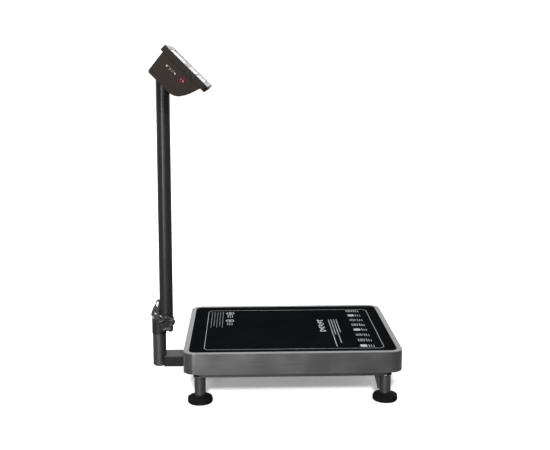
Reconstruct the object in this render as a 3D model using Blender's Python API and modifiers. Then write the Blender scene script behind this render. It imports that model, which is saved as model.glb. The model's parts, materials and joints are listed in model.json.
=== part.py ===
"""Label printing scale: weighing platform, folding column and printing console.

Metres, +Z up.  The scale stands on z = 0.  X runs from the column (-X) to the far end of the
platform (+X), Y runs across the platform, and the origin is below the middle of the whole scale.
"""
import math

import bmesh
import bpy
from mathutils import Matrix, Vector

# ---------------------------------------------------------------- driving dimensions (metres)
GAP = 0.0003                    # clearance between pieces that touch
OVERCUT = 0.010                 # how far a cutter runs past what it cuts
THROUGH = 0.200                 # length of a cutter that passes right through
WALL_CUT = 0.012                # length of a cutter through one wall
WELD = 0.001                    # how far welded solids run into each other
NEAR = 0.00001                  # places closer than this are the same
SHARP = 60                      # edges over this many degrees are rounded
FINE_ARC = 7                    # points on a fine corner
COARSE_ARC = 4

PLATFORM_LENGTH = 0.500
PLATFORM_WIDTH = 0.400
PLATFORM_TOP = 0.124            # height of the platform's rim above the floor
COVER_HEIGHT = 0.048
COVER_SHEET = 0.0015
COVER_CORNER = 0.028
COVER_EDGE = 0.005
COVER_EDGE_STEPS = 3
RIM_WIDTH = 0.012
PANEL_THICKNESS = 0.003

FRAME_BOTTOM = 0.062
FRAME_HEIGHT = 0.025
FRAME_INSET_X = 0.030           # platform edge to frame edge
FRAME_INSET_Y = 0.020
RAIL_WIDTH = 0.030
RAIL_WALL = 0.002
FRAME_CORNER = 0.012
LEG_RADIUS = 0.013
LEG_INSET_X = 0.0365            # platform edge to leg axis
LEG_INSET_Y = 0.035
GUSSET_LENGTH = 0.095
GUSSET_PLATE = 0.004
GUSSET_LIFT = 0.010             # stud collar to gusset tip
GUSSET_TIP = 0.004              # width left at the gusset's far end
GUSSET_ROOT = 0.8               # leg radii from the leg's axis to the gusset's start
SIDE_GUSSET_LIFT = 0.005        # stud collar to the side gusset's foot
SIDE_GUSSET_FOOT = 0.0175       # leg axis to the side gusset's edge, at its foot
SIDE_GUSSET_HEAD = 0.0265       # and under the rail
BEAM_WIDTH = 0.050
BEAM_THICKNESS = 0.012

CELL_LENGTH = 0.150
CELL_WIDTH = 0.040
CELL_HEIGHT = 0.030
CELL_BORE = 0.009
CELL_BORE_PLACE = 1.3           # bore radii from the cell's middle to each bore
CELL_EDGE = 0.0008
CELL_STEP = 0.003               # air gap under and over the cell's free part
CELL_SEAT = 0.040               # clamped length at each end of the cell
SPIDER_PLATE = 0.120
SPIDER_ARM = 0.030
SPIDER_INSET = 0.050

PAD_RADIUS = 0.0285
PAD_HEIGHT = 0.015
STUD_RADIUS = 0.006
STUD_COLLAR = 0.0128
STUD_COLLAR_HEIGHT = 0.006
STUD_LENGTH = 0.024             # above its collar
STUD_SUNK = 0.005               # into the pad
PAD_SOCKET = 0.006
PAD_EDGE = 0.0035
PAD_CHAMFER = 0.0015
LEG_BORE = 0.030

ARM_WIDTH = 0.052
ARM_HEIGHT = 0.0265
ARM_WALL = 0.002
ARM_EDGE = 0.002
ARM_START = 0.75                # post radii from the post's axis to the arm's end
ARM_REACH = 0.200               # length of the arm under the platform

TUBE_RADIUS = 0.0165
TUBE_WALL = 0.002
COLUMN_SETBACK = 0.0525         # platform edge to column axis
POST_OFFSET = 0.018             # column axis to post axis
CAP_HEAD = 0.002
CAP_PLUG = 0.012
CAP_EDGE = 0.001

PIVOT_HEIGHT = 0.144
PIVOT_LEAD = 0.0025             # fold pivot in front of the column axis
PIVOT_RADIUS = 0.005
CHEEK_RADIUS = 0.015
CHEEK_STEP = 0.0015             # sleeve's outside to the cheeks' outside
TONGUE_RADIUS = 0.012
TONGUE_THICKNESS = 0.016
TONGUE_FLOOR = 0.001            # tongue's lowest point to the post's top
TONGUE_CLEARANCE = 0.0004
TONGUE_SLOT_REACH = 0.040
CHEEK_DROP = 0.008              # sleeve's bottom to the cheeks' lower end
CHEEK_LEAN = 0.9                # sleeve radii from the post's axis to the cheeks' front
CHEEK_ARC = (110, -70, 15)      # from, to, points
SLEEVE_WALL = 0.0013
SLEEVE_BOTTOM = 0.114
SLEEVE_TOP = 0.150
KNUCKLE_COLLAR = 0.0025
SPIGOT_LENGTH = 0.032
WASHER_THICKNESS = 0.0015
WASHER_RADIUS = 0.011
KNOB_THICKNESS = 0.018
KNOB_RADIUS = 0.0225
KNOB_WAIST = 0.0165
KNOB_LOBES = 5
KNOB_STEPS = 8                  # points on each lobe
KNOB_TURN = math.radians(-52)   # first lobe
KNOB_HUB_RADIUS = 0.011
KNOB_HUB_HEIGHT = 0.004
KNOB_EDGE = 0.002
KNOB_BORE = 0.7                 # share of its thickness
BOLT_REACH = 0.6                # share of the knob's thickness that the bolt fills
BOLT_SUNK = 0.002               # shank into its own head
BOLT_HEAD_RADIUS = 0.0095
BOLT_HEAD_HEIGHT = 0.0064
KNUCKLE_LIFT = 0.0004           # cheeks' top to the knuckle's collar

LEVER_THICKNESS = 0.008
LEVER_PIN_BACK = 0.009          # column's back to lever pin
LEVER_TAIL = 0.012              # lever pin to the tail's tip
LEVER_PIN_RISE = 0.021          # fold pivot to lever pin
LEVER_PIN_RADIUS = 0.0022
LEVER_PIN_PROUD = 0.001
LUG_THICKNESS = 0.005
LUG_RADIUS = 0.0062
LUG_ARC = (60, 200, 8)
LUG_HEIGHT = 0.008              # lever pin to the lugs' top
LUG_FOOT = 0.002                # lugs' foot below the sleeve's top
LUG_BACK = (-0.0072, -0.006)
LUG_ROOT = 0.0060
LEVER_SLOT_ROOM = 0.004
LEVER_SLOT_HEIGHT = 0.060
LEVER_TOP = 0.0322
LEVER_BACK = ((0.0040, 0.0322), (0.0012, 0.0295), (-0.0010, 0.0213), (-0.0070, 0.0123),
              (-0.0105, 0.0030), (-LEVER_TAIL, -0.0032), (-0.0110, -0.0085), (-0.0040, -0.0085),
              (0.0040, -0.0062), (0.0064, -0.0010))
LEVER_HEEL = 0.0070             # lever pin to where its front face starts
LEVER_NOSE = 0.011              # lever pin to its nose
FINGER_WINDOW = ((0.0026, 0.0165), (0.0050, 0.0260))
FINGER_WINDOW_RADIUS = 0.0021
NOTCH_ROOM = 0.0006
NOSE_DEPTH = 0.0015
SPRING_RADIUS = 0.0022
SPRING_WIRE = 0.0007
SPRING_TURNS = 4
SPRING_STEPS = 10               # rings in each turn
SPRING_SIDES = 6
SPRING_BACK = 0.0075            # lever pin to the spring's axis
LEVER_FOOT = 0.0085             # lever pin to the lever's underside over the spring
LUG_SINK = 0.0005               # sleeve's top to the floor between the lugs

COLUMN_TOP = 0.752
SPIGOT_FLANGE = 0.0025
SPIGOT_STUD = 0.006
SPIGOT_CHAMFER = 0.0008
SPIGOT_PLUG = 0.030
COLUMN_CLEARANCE = 0.0009       # column to the housing's opening
COLUMN_CUT = 0.100
STUD_TOP = 0.766
BRACKET_PLATE = 0.003
SPIGOT_NUT_RADIUS = 0.0085
SPIGOT_NUT_HEIGHT = 0.0054

HEAD_TILT = math.radians(45)
HEAD_LENGTH = 0.136             # along the sloping face
HEAD_WIDTH = 0.250
HEAD_TOP = 0.8124               # height of the face's top edge
HEAD_LEAD = 0.0173              # column axis to the face's top edge
BEZEL_DEPTH = 0.0145
BEZEL_WALL = 0.0025
BEZEL_CORNER = 0.010
HOUSING_DEPTH = 0.070           # face to back wall
HOUSING_WALL = 0.0025
HOUSING_SIDE_STEP = 0.002       # bezel side to housing side
HOUSING_EDGE = 0.006
HOUSING_EDGE_STEPS = 3
HOUSING_MIN_EDGE = 0.001
HOUSING_TOP = 0.0080            # face's top edge to the housing's top wall
HOUSING_LEAN = 0.101            # slope of the top wall
HOUSING_LEAN_ANGLE = 186
KNEE_PLACE = 0.0805             # face's top edge to the middle of the knee
KNEE_RADIUS = 0.030
BELLY_TURN = 51                 # degrees turned by the knee
SWEEP_RADIUS = 0.080
BEZEL_EDGE = 0.0015

WINDOW_SIZE = (0.044, 0.132)    # along the face, across the face
WINDOW_CENTRE = (0.036, -0.044)
WINDOW_THICKNESS = 0.002
WINDOW_LAP = 0.002              # window behind the bezel, each way
MODULE_INSET = 0.003
MODULE_DEPTH = 0.0065
MODULE_EDGE = 0.0006
KEY_ROWS = 2
KEY_COLUMNS = 5
KEY_SIZE = 0.021
KEY_PITCH = 0.0265
KEY_HEIGHT = 0.0085
KEY_PROUD = 0.0008
KEY_TRAVEL = 0.0008
KEY_GAP = 0.0004
KEY_EDGE = 0.0010
KEY_STOP = 0.0006               # carrier behind a pressed key
CARRIER_INSET = 0.001
CARRIER_THICKNESS = 0.0016
CARRIER_EDGE = 0.0004

BOARD_SIZE = (0.100, 0.126, 0.0016)
BOARD_CENTRE = (0.064, -0.046, -0.0225)
BOARD_EDGE = 0.0003
BATTERY_SIZE = (0.036, 0.070, 0.022)
BATTERY_CENTRE = (0.086, -0.058, -0.040)
BATTERY_EDGE = 0.002
KEY_CENTRE = (0.096, -0.044)

DOOR_SIZE = (0.104, 0.078)
DOOR_CENTRE = (0.066, 0.073)
DOOR_THICKNESS = 0.003
DOOR_GAP = 0.0006               # at the sides and lower edge
DOOR_TOP_GAP = 0.0010           # room for the top edge to swing inwards
DOOR_PIN_RADIUS = 0.0015
DOOR_PIN_INSET = 0.007          # door's top edge to its hinge axis
DOOR_PIN_DEPTH = 0.0031         # face to hinge axis
DOOR_KNUCKLE = 0.0028
DOOR_KNUCKLE_WIDTH = 0.006
DOOR_KNUCKLE_INSET = 0.0055     # door's side to the knuckle's middle
DOOR_EDGE = 0.0010
DOOR_PIN_OVER = 0.0040          # pin past the door, each side
PIN_EAR = (0.007, 0.003, 0.006)
PIN_EAR_OFFSET = (0.003, -0.0008)   # outwards from the door's side, out of the face
PIN_BORE_OVER = 0.0048
LABEL_SLOT_ROOM = 0.002         # label roll's width to the slot's width
LABEL_SLOT_RISE = 0.0045        # door's lower edge to the slot's middle
LABEL_SLOT_HEIGHT = 0.0025
ROLL_RADIUS = 0.023
ROLL_CORE = 0.0125
ROLL_WIDTH = 0.058
ROLL_PLACE = 0.046              # face's top edge to the roll's axis
ROLL_GAP = 0.0009               # roll to the printer's base plate
AXLE_RADIUS = 0.003
PLATEN_RADIUS = 0.0065
PLATEN_SHAFT = 0.0025
PLATEN_ARM_RADIUS = 0.0048
PLATEN_ARM_ARC = (190, 350, 7)
PLATEN_ARM_BACK = 0.006
PLATEN_ARM_FRONT = 0.005
PLATEN_ARM_TOP = 0.002          # face to the arms' root
PLATEN_ARM_THICKNESS = 0.0024
PLATEN_ARM_INSET = 0.0022       # printer's side plate to the arm's middle
PLATEN_SIDE_GAP = 0.0006
PLATEN_SHAFT_PROUD = 0.0002
SPOOL_FLANGE = 0.001            # roll's side to the spool's flange
SPOOL_PLAY = 0.0015
AXLE_PLAY = 0.0005
PLATEN_CENTRE = (0.104, -0.0125)
PRINTER_PLATE = 0.003
PRINTER_BASE = 0.0016
PRINTER_LIFT = 0.0004           # side plates' back edge to the base plate
PRINTER_STANDOFF = 0.0006       # housing wall to the side plates
PRINTER_SIDE_GAP = 0.002
PRINTER_LIP = 0.017             # face to the side plates' front edge
PRINTER_TOP_INSET = 0.012       # door's top edge to the side plates
PRINTER_FOOT_INSET = 0.014      # door's lower edge to the side plates
PRINTER_HEEL = 0.026            # side plates' lower corner, cut back
PRINTER_TOE = 0.002
PRINTER_TOE_DEPTH = 0.036
PRINTER_BASE_SHORT = 0.030
PRINTER_BASE_SHIFT = 0.013
TIE_SIZE = (0.003, 0.010)       # along the face, out of it
TIE_PLACE = (0.004, -0.0400)
PRINT_HEAD_SIZE = (0.013, 0.0050)
PRINT_HEAD_GAP = 0.0004
PRINT_HEAD_BACK = 0.002         # platen's axis to the print head's middle
PRINT_HEAD_SIDE = 0.0005
PRINT_HEAD_EDGE = 0.0008
MOTOR_RADIUS = 0.0105
MOTOR_LENGTH = 0.013
MOTOR_PLACE = (0.012, -0.0360)
MOTOR_EDGE = 0.0008

SWITCH_CENTRE = (0.0824, -0.0297)
SWITCH_SIZE = (0.0175, 0.0150)
ROCKER_SIZE = (0.0130, 0.0105)
ROCKER_ANGLE = math.radians(8)
ROCKER_PIVOT = 0.0040           # wall to the rocker's axis
ROCKER_FACE = -0.0052           # axis to the middle of the rocker's face
ROCKER_SHOULDER = -0.001
ROCKER_HEEL = 0.003
ROCKER_GAP = 0.0004
ROCKER_EDGE = 0.0004
ROCKER_PLAY = (0.0008, 0.0006)
SWITCH_FLANGE = 0.0012
SWITCH_NECK = 0.0030            # rocker's size to the neck's size
SWITCH_NECK_LENGTH = 0.014
SWITCH_SINK = 0.0008
SWITCH_MOUTH = 0.018
SERIAL_CENTRE = (0.0483, -0.0300)
SERIAL_SIZE = (0.0170, 0.0085)
SERIAL_SCREW_PITCH = 0.0280
SERIAL_DEPTH = 0.014
SERIAL_PROUD = 0.0015
SERIAL_EDGE = 0.0015
SERIAL_FLANGE = (0.006, 0.001, 0.0120)  # past the screws, thick, high
PORT_CENTRES = ((0.0750, -0.0074), (0.0913, -0.0074))
PORT_SIZE = 0.0095
PORT_DEPTH = 0.011
PORT_WALL = 0.0012
INLET_CENTRE = (0.060, -0.045)
INLET_RADIUS = 0.0055
INLET_WALL = 0.0015
INLET_DEPTH = 0.013
INLET_PROUD = 0.0005
INLET_FLANGE = (0.003, 0.0015)  # past the inlet's radius, thick
INLET_BORE = 0.018

BRACKET_SPAN = (-0.0140, 0.0200)
BRACKET_ROOM = 0.0035           # column radius to the bracket's side
BRACKET_CHEEK = 0.003
BRACKET_WEB = ((0.0215, 0.0), (0.0640, 0.0), (0.0640, 0.004), (0.0400, 0.040), (0.0215, 0.011))
BRACKET_FOOT = (0.0230, 0.0620)
BRACKET_FOOT_WIDTH = 0.012
BRACKET_FOOT_THICKNESS = 0.002

# ---------------------------------------------------------------- places worked out from them
TUBE_BORE = TUBE_RADIUS - TUBE_WALL
SLEEVE_RADIUS = TUBE_RADIUS + SLEEVE_WALL
LEVER_PIN_X = TUBE_RADIUS + LEVER_PIN_BACK  # column axis to lever pin
LEVER_REACH = LEVER_PIN_X + LEVER_TAIL      # column axis to the lever's tail
REAR_REACH = max(LEVER_REACH, POST_OFFSET + SLEEVE_RADIUS)
PLATFORM_X = (REAR_REACH + COLUMN_SETBACK) / 2
COLUMN_X = PLATFORM_X - PLATFORM_LENGTH / 2 - COLUMN_SETBACK
POST_X = COLUMN_X - POST_OFFSET
PIVOT = Vector((COLUMN_X + PIVOT_LEAD, 0, PIVOT_HEIGHT))
FRAME_LENGTH = PLATFORM_LENGTH - 2 * FRAME_INSET_X
FRAME_WIDTH = PLATFORM_WIDTH - 2 * FRAME_INSET_Y
ARM_TOP = FRAME_BOTTOM - GAP
ARM_BOTTOM = ARM_TOP - ARM_HEIGHT
PANEL_SEAT = PLATFORM_TOP - PANEL_THICKNESS - GAP
COVER_UNDERSIDE = PANEL_SEAT - COVER_SHEET
SPIDER_TOP = COVER_UNDERSIDE - GAP
BEAM_TOP = FRAME_BOTTOM + BEAM_THICKNESS
CELL_BOTTOM = BEAM_TOP + CELL_STEP + GAP
CELL_TOP = CELL_BOTTOM + CELL_HEIGHT
SPIDER_BOTTOM = CELL_TOP + CELL_STEP + GAP
CHEEK_OUTER = SLEEVE_RADIUS - CHEEK_STEP
POST_TOP = PIVOT_HEIGHT - TONGUE_RADIUS - TONGUE_FLOOR
KNUCKLE_SEAT = PIVOT_HEIGHT + CHEEK_RADIUS + KNUCKLE_LIFT
COLUMN_BOTTOM = KNUCKLE_SEAT + KNUCKLE_COLLAR + GAP
TUBE_BACK = COLUMN_X - TUBE_RADIUS
LEVER_PIN = Vector((COLUMN_X - LEVER_PIN_X, 0, PIVOT_HEIGHT + LEVER_PIN_RISE))
HEAD_ORIGIN = Vector((COLUMN_X + HEAD_LEAD, 0, HEAD_TOP))
HOUSING_HALF = HEAD_WIDTH / 2 - HOUSING_SIDE_STEP
BRACKET_BOTTOM = COLUMN_TOP + GAP + SPIGOT_FLANGE + GAP
PRINTER_BACK = -HOUSING_DEPTH + HOUSING_WALL + PRINTER_STANDOFF
ROLL_DEPTH = PRINTER_BACK + PRINTER_LIFT + PRINTER_BASE + ROLL_GAP + ROLL_RADIUS
ROLL_CENTRE = (ROLL_PLACE, ROLL_DEPTH)      # along the face, out of the face


# ---------------------------------------------------------------- scene, materials, collections
def clear_scene():
    """Remove every object, so the model starts from an empty scene."""
    for item in list(bpy.data.objects):
        bpy.data.objects.remove(item, do_unlink=True)


def new_collection(name):
    """Make a collection in the scene."""
    collection = bpy.data.collections.new(name)
    bpy.context.scene.collection.children.link(collection)
    return collection


clear_scene()
PARTS = new_collection("label_printing_scale")
CUTTERS = new_collection("cutters")


def finish(name, colour, roughness, metallic=0.0):
    """Make a Principled material."""
    material = bpy.data.materials.new(name)
    material.use_nodes = True
    shader = material.node_tree.nodes["Principled BSDF"]
    shader.inputs["Base Color"].default_value = (*colour, 1.0)
    shader.inputs["Roughness"].default_value = roughness
    shader.inputs["Metallic"].default_value = metallic
    return material


GREY_COAT = finish("grey_hammer_coat", (0.11, 0.11, 0.12), 0.42, 0.3)
DARK_COAT = finish("dark_grey_coat", (0.055, 0.055, 0.060), 0.45, 0.2)
COVER_STEEL = finish("cover_steel", (0.20, 0.20, 0.21), 0.35, 0.8)
PANEL_BLACK = finish("panel_black", (0.004, 0.004, 0.004), 0.25)
BLACK_CAST = finish("black_casting", (0.015, 0.015, 0.017), 0.5, 0.1)
BLACK_PLASTIC = finish("black_plastic", (0.012, 0.012, 0.012), 0.45)
RUBBER = finish("rubber", (0.010, 0.010, 0.010), 0.8)
ZINC = finish("zinc", (0.55, 0.56, 0.58), 0.35, 1.0)
ALUMINIUM = finish("aluminium", (0.66, 0.67, 0.68), 0.35, 1.0)
HEAD_COAT = finish("console_grey", (0.13, 0.125, 0.115), 0.45)
HEAD_FACE = finish("console_face", (0.50, 0.50, 0.49), 0.40)
GLASS = finish("display_glass", (0.02, 0.03, 0.03), 0.08)
KEY_GREY = finish("key_grey", (0.75, 0.75, 0.74), 0.5)
RED = finish("switch_red", (0.45, 0.01, 0.02), 0.3)
BOARD = finish("board_green", (0.02, 0.16, 0.06), 0.45)
PAPER = finish("label_paper", (0.85, 0.85, 0.83), 0.8)


# ---------------------------------------------------------------- modelling helpers
def empty(name, location, parent=None, rotation=(0, 0, 0)):
    """A joint axis or a sub-assembly's frame."""
    item = bpy.data.objects.new(name, None)
    item.empty_display_size = 0.02
    item.location = location
    item.rotation_euler = rotation
    item.parent = parent
    PARTS.objects.link(item)
    return item


def add(name, mesh, material, location=(0, 0, 0), parent=None, rotation=(0, 0, 0)):
    """Put a mesh in the scene; without a material it is a cutter."""
    item = bpy.data.objects.new(name, mesh)
    item.location = location
    item.rotation_euler = rotation
    item.parent = parent
    if material is None:
        CUTTERS.objects.link(item)
        item.hide_render = True
        item.display_type = "WIRE"
    else:
        PARTS.objects.link(item)
        mesh.materials.append(material)
    return item


def smooth(mesh):
    """Shade a round mesh smooth, with its real edges sharp."""
    mesh.shade_smooth()
    mesh.set_sharp_from_angle(angle=math.radians(35))


def box(name, size, material, location=(0, 0, 0), parent=None, rotation=(0, 0, 0)):
    """A box centred on its location."""
    mesh = bpy.data.meshes.new(name)
    bm = bmesh.new()
    bmesh.ops.create_cube(bm, size=1.0)
    bmesh.ops.scale(bm, vec=size, verts=bm.verts)
    bm.to_mesh(mesh)
    bm.free()
    return add(name, mesh, material, location, parent, rotation)


def block(name, low, high, material, parent=None):
    """A box between two corners of the parent's frame."""
    low, high = Vector(low), Vector(high)
    return box(name, high - low, material, (low + high) / 2, parent)


TURN = {"X": Matrix.Rotation(math.radians(90), 4, "Y"),
        "Y": Matrix.Rotation(math.radians(-90), 4, "X"),
        "Z": Matrix.Identity(4)}


def rod(name, radius, length, material, location=(0, 0, 0), axis="Z", parent=None, sides=32):
    """A cylinder centred on its location."""
    mesh = bpy.data.meshes.new(name)
    bm = bmesh.new()
    bmesh.ops.create_cone(bm, cap_ends=True, segments=sides, radius1=radius, radius2=radius,
                          depth=length)
    bmesh.ops.transform(bm, matrix=TURN[axis], verts=bm.verts)
    bm.to_mesh(mesh)
    bm.free()
    smooth(mesh)
    return add(name, mesh, material, location, parent)


def turned(name, profile, material, location=(0, 0, 0), axis="Z", parent=None, steps=32):
    """A solid of revolution from (radius, height) points that start and end on the axis."""
    mesh = bpy.data.meshes.new(name)
    mesh.from_pydata([(r, 0, h) for r, h in profile],
                     [(i, i + 1) for i in range(len(profile) - 1)], [])
    mesh.shade_smooth()
    item = add(name, mesh, material, location, parent, TURN[axis].to_euler())
    screw = item.modifiers.new("turn", "SCREW")
    screw.steps = steps
    screw.render_steps = steps
    screw.use_merge_vertices = True
    screw.merge_threshold = NEAR
    screw.use_smooth_shade = True
    return item


def arc(centre, radius, start, end, count):
    """Points on an arc, with its angles in degrees."""
    angles = [math.radians(start + (end - start) * i / (count - 1)) for i in range(count)]
    return [(centre[0] + radius * math.cos(a), centre[1] + radius * math.sin(a)) for a in angles]


def rounded_rectangle(length, width, radius, count=5):
    """The outline of a rectangle with round corners, centred on the origin."""
    x, y = length / 2 - radius, width / 2 - radius
    corners = ((x, y, 0), (-x, y, 90), (-x, -y, 180), (x, -y, 270))
    return [p for cx, cy, a in corners for p in arc((cx, cy), radius, a, a + 90, count)]


def outline(name, points, thickness, material, location=(0, 0, 0), parent=None, side=False):
    """A flat outline made thick: lying in XY, or standing in XZ when side is set."""
    curve = bpy.data.curves.new(name, "CURVE")
    curve.dimensions = "2D"
    curve.fill_mode = "BOTH"
    curve.extrude = thickness / 2
    spline = curve.splines.new("POLY")
    spline.points.add(len(points) - 1)
    for point, (x, y) in zip(spline.points, points):
        point.co = (x, y, 0, 1)
    spline.use_cyclic_u = True
    guide = bpy.data.objects.new(name + "_curve", curve)
    bpy.context.scene.collection.objects.link(guide)
    depsgraph = bpy.context.evaluated_depsgraph_get()
    mesh = bpy.data.meshes.new_from_object(guide.evaluated_get(depsgraph))
    bpy.data.objects.remove(guide, do_unlink=True)
    mesh.name = name
    bm = bmesh.new()
    bm.from_mesh(mesh)
    bmesh.ops.remove_doubles(bm, verts=bm.verts, dist=NEAR)
    bmesh.ops.recalc_face_normals(bm, faces=bm.faces)
    if side:
        bmesh.ops.transform(bm, matrix=Matrix.Rotation(math.radians(90), 4, "X"), verts=bm.verts)
    bm.to_mesh(mesh)
    bm.free()
    smooth(mesh)
    mesh.materials.clear()
    return add(name, mesh, material, location, parent)


def cut(item, cutter):
    """Take the cutter out of the item."""
    boolean = item.modifiers.new("cut_" + cutter.name, "BOOLEAN")
    boolean.operation = "DIFFERENCE"
    boolean.solver = "EXACT"
    boolean.object = cutter


def weld(item, other):
    """Join another solid, kept with the cutters, to the item."""
    boolean = item.modifiers.new("weld_" + other.name, "BOOLEAN")
    boolean.operation = "UNION"
    boolean.solver = "EXACT"
    boolean.object = other


def bevel(item, width, segments=2, angle=40):
    """Round the item's sharp edges."""
    modifier = item.modifiers.new("rounding", "BEVEL")
    modifier.width = width
    modifier.segments = segments
    modifier.limit_method = "ANGLE"
    modifier.angle_limit = math.radians(angle)
    modifier.use_clamp_overlap = True
    return modifier


def tube(name, outer, inner, low, high, material, location, axis="Z", parent=None, sides=32):
    """A tube between two heights on its own axis."""
    length = high - low
    shift = (TURN[axis] @ Vector((0, 0, (low + high) / 2)))
    place = Vector(location) + shift
    item = rod(name, outer, length, material, place, axis, parent, sides)
    cut(item, rod(name + "_bore", inner, length + OVERCUT, None, place, axis, parent, sides))
    return item


# ---------------------------------------------------------------- platform and base
def platform_cover():
    """The stamped cover: rim, recess for the panel, skirt, open underneath."""
    outer = rounded_rectangle(PLATFORM_LENGTH, PLATFORM_WIDTH, COVER_CORNER,
                              FINE_ARC)
    cover = outline("platform_cover", outer, COVER_HEIGHT, COVER_STEEL,
                    (PLATFORM_X, 0, PLATFORM_TOP - COVER_HEIGHT / 2))
    rounding = bevel(cover, COVER_EDGE, COVER_EDGE_STEPS, SHARP)
    rounding.limit_method = "WEIGHT"
    mark_top_edges(cover)
    recess = rounded_rectangle(PLATFORM_LENGTH - 2 * RIM_WIDTH, PLATFORM_WIDTH - 2 * RIM_WIDTH,
                               COVER_CORNER - RIM_WIDTH)
    depth = PLATFORM_TOP - PANEL_SEAT
    cut(cover, outline("cover_recess", recess, 2 * depth, None, (PLATFORM_X, 0, PLATFORM_TOP)))
    inner = rounded_rectangle(PLATFORM_LENGTH - 2 * COVER_SHEET, PLATFORM_WIDTH - 2 * COVER_SHEET,
                              COVER_CORNER - COVER_SHEET, FINE_ARC)
    bottom = PLATFORM_TOP - COVER_HEIGHT - OVERCUT
    cavity = outline("cover_cavity", inner, COVER_UNDERSIDE - bottom, None,
                     (PLATFORM_X, 0, (COVER_UNDERSIDE + bottom) / 2))
    cut(cover, cavity)


def mark_top_edges(item):
    """Weight the outline's top edges, so only they are rounded."""
    mesh = item.data
    top = max(v.co.z for v in mesh.vertices)
    weights = mesh.attributes.new("bevel_weight_edge", "FLOAT", "EDGE")
    for edge in mesh.edges:
        ends = [mesh.vertices[i].co.z for i in edge.vertices]
        weights.data[edge.index].value = 1.0 if min(ends) > top - NEAR else 0.0


def platform_panel():
    """The black panel in the cover's recess."""
    inset = RIM_WIDTH + GAP
    points = rounded_rectangle(PLATFORM_LENGTH - 2 * inset, PLATFORM_WIDTH - 2 * inset,
                               COVER_CORNER - inset)
    height = PANEL_SEAT + GAP + (PANEL_THICKNESS - GAP) / 2
    outline("platform_panel", points, PANEL_THICKNESS - GAP, PANEL_BLACK, (PLATFORM_X, 0, height))


def leg_places():
    """The four leg axes, each with the side of Y it stands on."""
    x = PLATFORM_LENGTH / 2 - LEG_INSET_X
    y = PLATFORM_WIDTH / 2 - LEG_INSET_Y
    return [(PLATFORM_X + sx * x, sy * y, -sy) for sy in (-1, 1) for sx in (-1, 1)]


def base_frame():
    """Rails open at the top, centre beam, legs and gussets, welded together."""
    middle = FRAME_BOTTOM + FRAME_HEIGHT / 2
    ring = rounded_rectangle(FRAME_LENGTH, FRAME_WIDTH, FRAME_CORNER, COARSE_ARC)
    frame = outline("base_frame", ring, FRAME_HEIGHT, DARK_COAT, (PLATFORM_X, 0, middle))
    inner = (FRAME_LENGTH - 2 * RAIL_WIDTH, FRAME_WIDTH - 2 * RAIL_WIDTH)
    cut(frame, box("frame_window", (*inner, FRAME_HEIGHT * 2), None, (PLATFORM_X, 0, middle)))
    channel = channel_cutter(middle)
    cut(frame, channel)
    seat_x = PLATFORM_X - CELL_LENGTH / 2 + CELL_SEAT / 2
    beam = box("frame_beam", (BEAM_WIDTH, inner[1] + RAIL_WALL, BEAM_THICKNESS), None,
               (seat_x, 0, FRAME_BOTTOM + BEAM_THICKNESS / 2))
    weld(frame, beam)
    weld(frame, block("frame_cell_seat", (seat_x - CELL_SEAT / 2, -CELL_WIDTH / 2, BEAM_TOP - WELD),
                      (seat_x + CELL_SEAT / 2, CELL_WIDTH / 2, BEAM_TOP + CELL_STEP), None))
    leg_bottom = PAD_HEIGHT + STUD_COLLAR_HEIGHT + GAP
    leg_height = FRAME_BOTTOM + RAIL_WALL / 2 - leg_bottom
    for number, (x, y, inward) in enumerate(leg_places(), 1):
        weld(frame, rod(f"leg_{number}", LEG_RADIUS, leg_height, None,
                        (x, y, leg_bottom + leg_height / 2)))
        weld(frame, gusset(number, x, y, inward))
        if x > PLATFORM_X:
            weld(frame, side_gusset(number, x, y))
        cut(frame, rod(f"leg_thread_{number}", STUD_RADIUS + GAP, 2 * LEG_BORE, None,
                       (x, y, leg_bottom)))


def channel_cutter(middle):
    """The ring-shaped trough that makes the rails open channels."""
    length, width = FRAME_LENGTH - 2 * RAIL_WALL, FRAME_WIDTH - 2 * RAIL_WALL
    points = rounded_rectangle(length, width, FRAME_CORNER - RAIL_WALL, COARSE_ARC)
    trough = outline("frame_trough", points, FRAME_HEIGHT, None, (PLATFORM_X, 0, middle + RAIL_WALL))
    inner = RAIL_WIDTH - RAIL_WALL
    core = box("frame_core", (FRAME_LENGTH - 2 * inner, FRAME_WIDTH - 2 * inner, FRAME_HEIGHT * 3),
               None, (PLATFORM_X, 0, middle))
    cut(trough, core)
    return trough


def gusset(number, x, y, inward):
    """A triangular plate that props the leg from the side rail."""
    tip = PAD_HEIGHT + STUD_COLLAR_HEIGHT + GUSSET_LIFT
    top = FRAME_BOTTOM + RAIL_WALL / 2
    start = LEG_RADIUS * GUSSET_ROOT
    points = [(start, tip), (start + GUSSET_LENGTH, top - GUSSET_TIP), (start + GUSSET_LENGTH, top),
              (start, top)]
    plate = outline(f"gusset_{number}", points, GUSSET_PLATE, None, (x, y, 0), side=True)
    plate.rotation_euler = (0, 0, inward * math.radians(90))
    return plate


def side_gusset(number, x, y):
    """A narrow plate from the leg towards the column, under the side rail."""
    foot = PAD_HEIGHT + STUD_COLLAR_HEIGHT + SIDE_GUSSET_LIFT
    top = FRAME_BOTTOM + RAIL_WALL / 2
    start = -LEG_RADIUS * GUSSET_ROOT
    points = [(start, foot), (start, top), (-SIDE_GUSSET_HEAD, top), (-SIDE_GUSSET_FOOT, foot)]
    return outline(f"side_gusset_{number}", points, GUSSET_PLATE, None, (x, y, 0), side=True)


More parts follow.
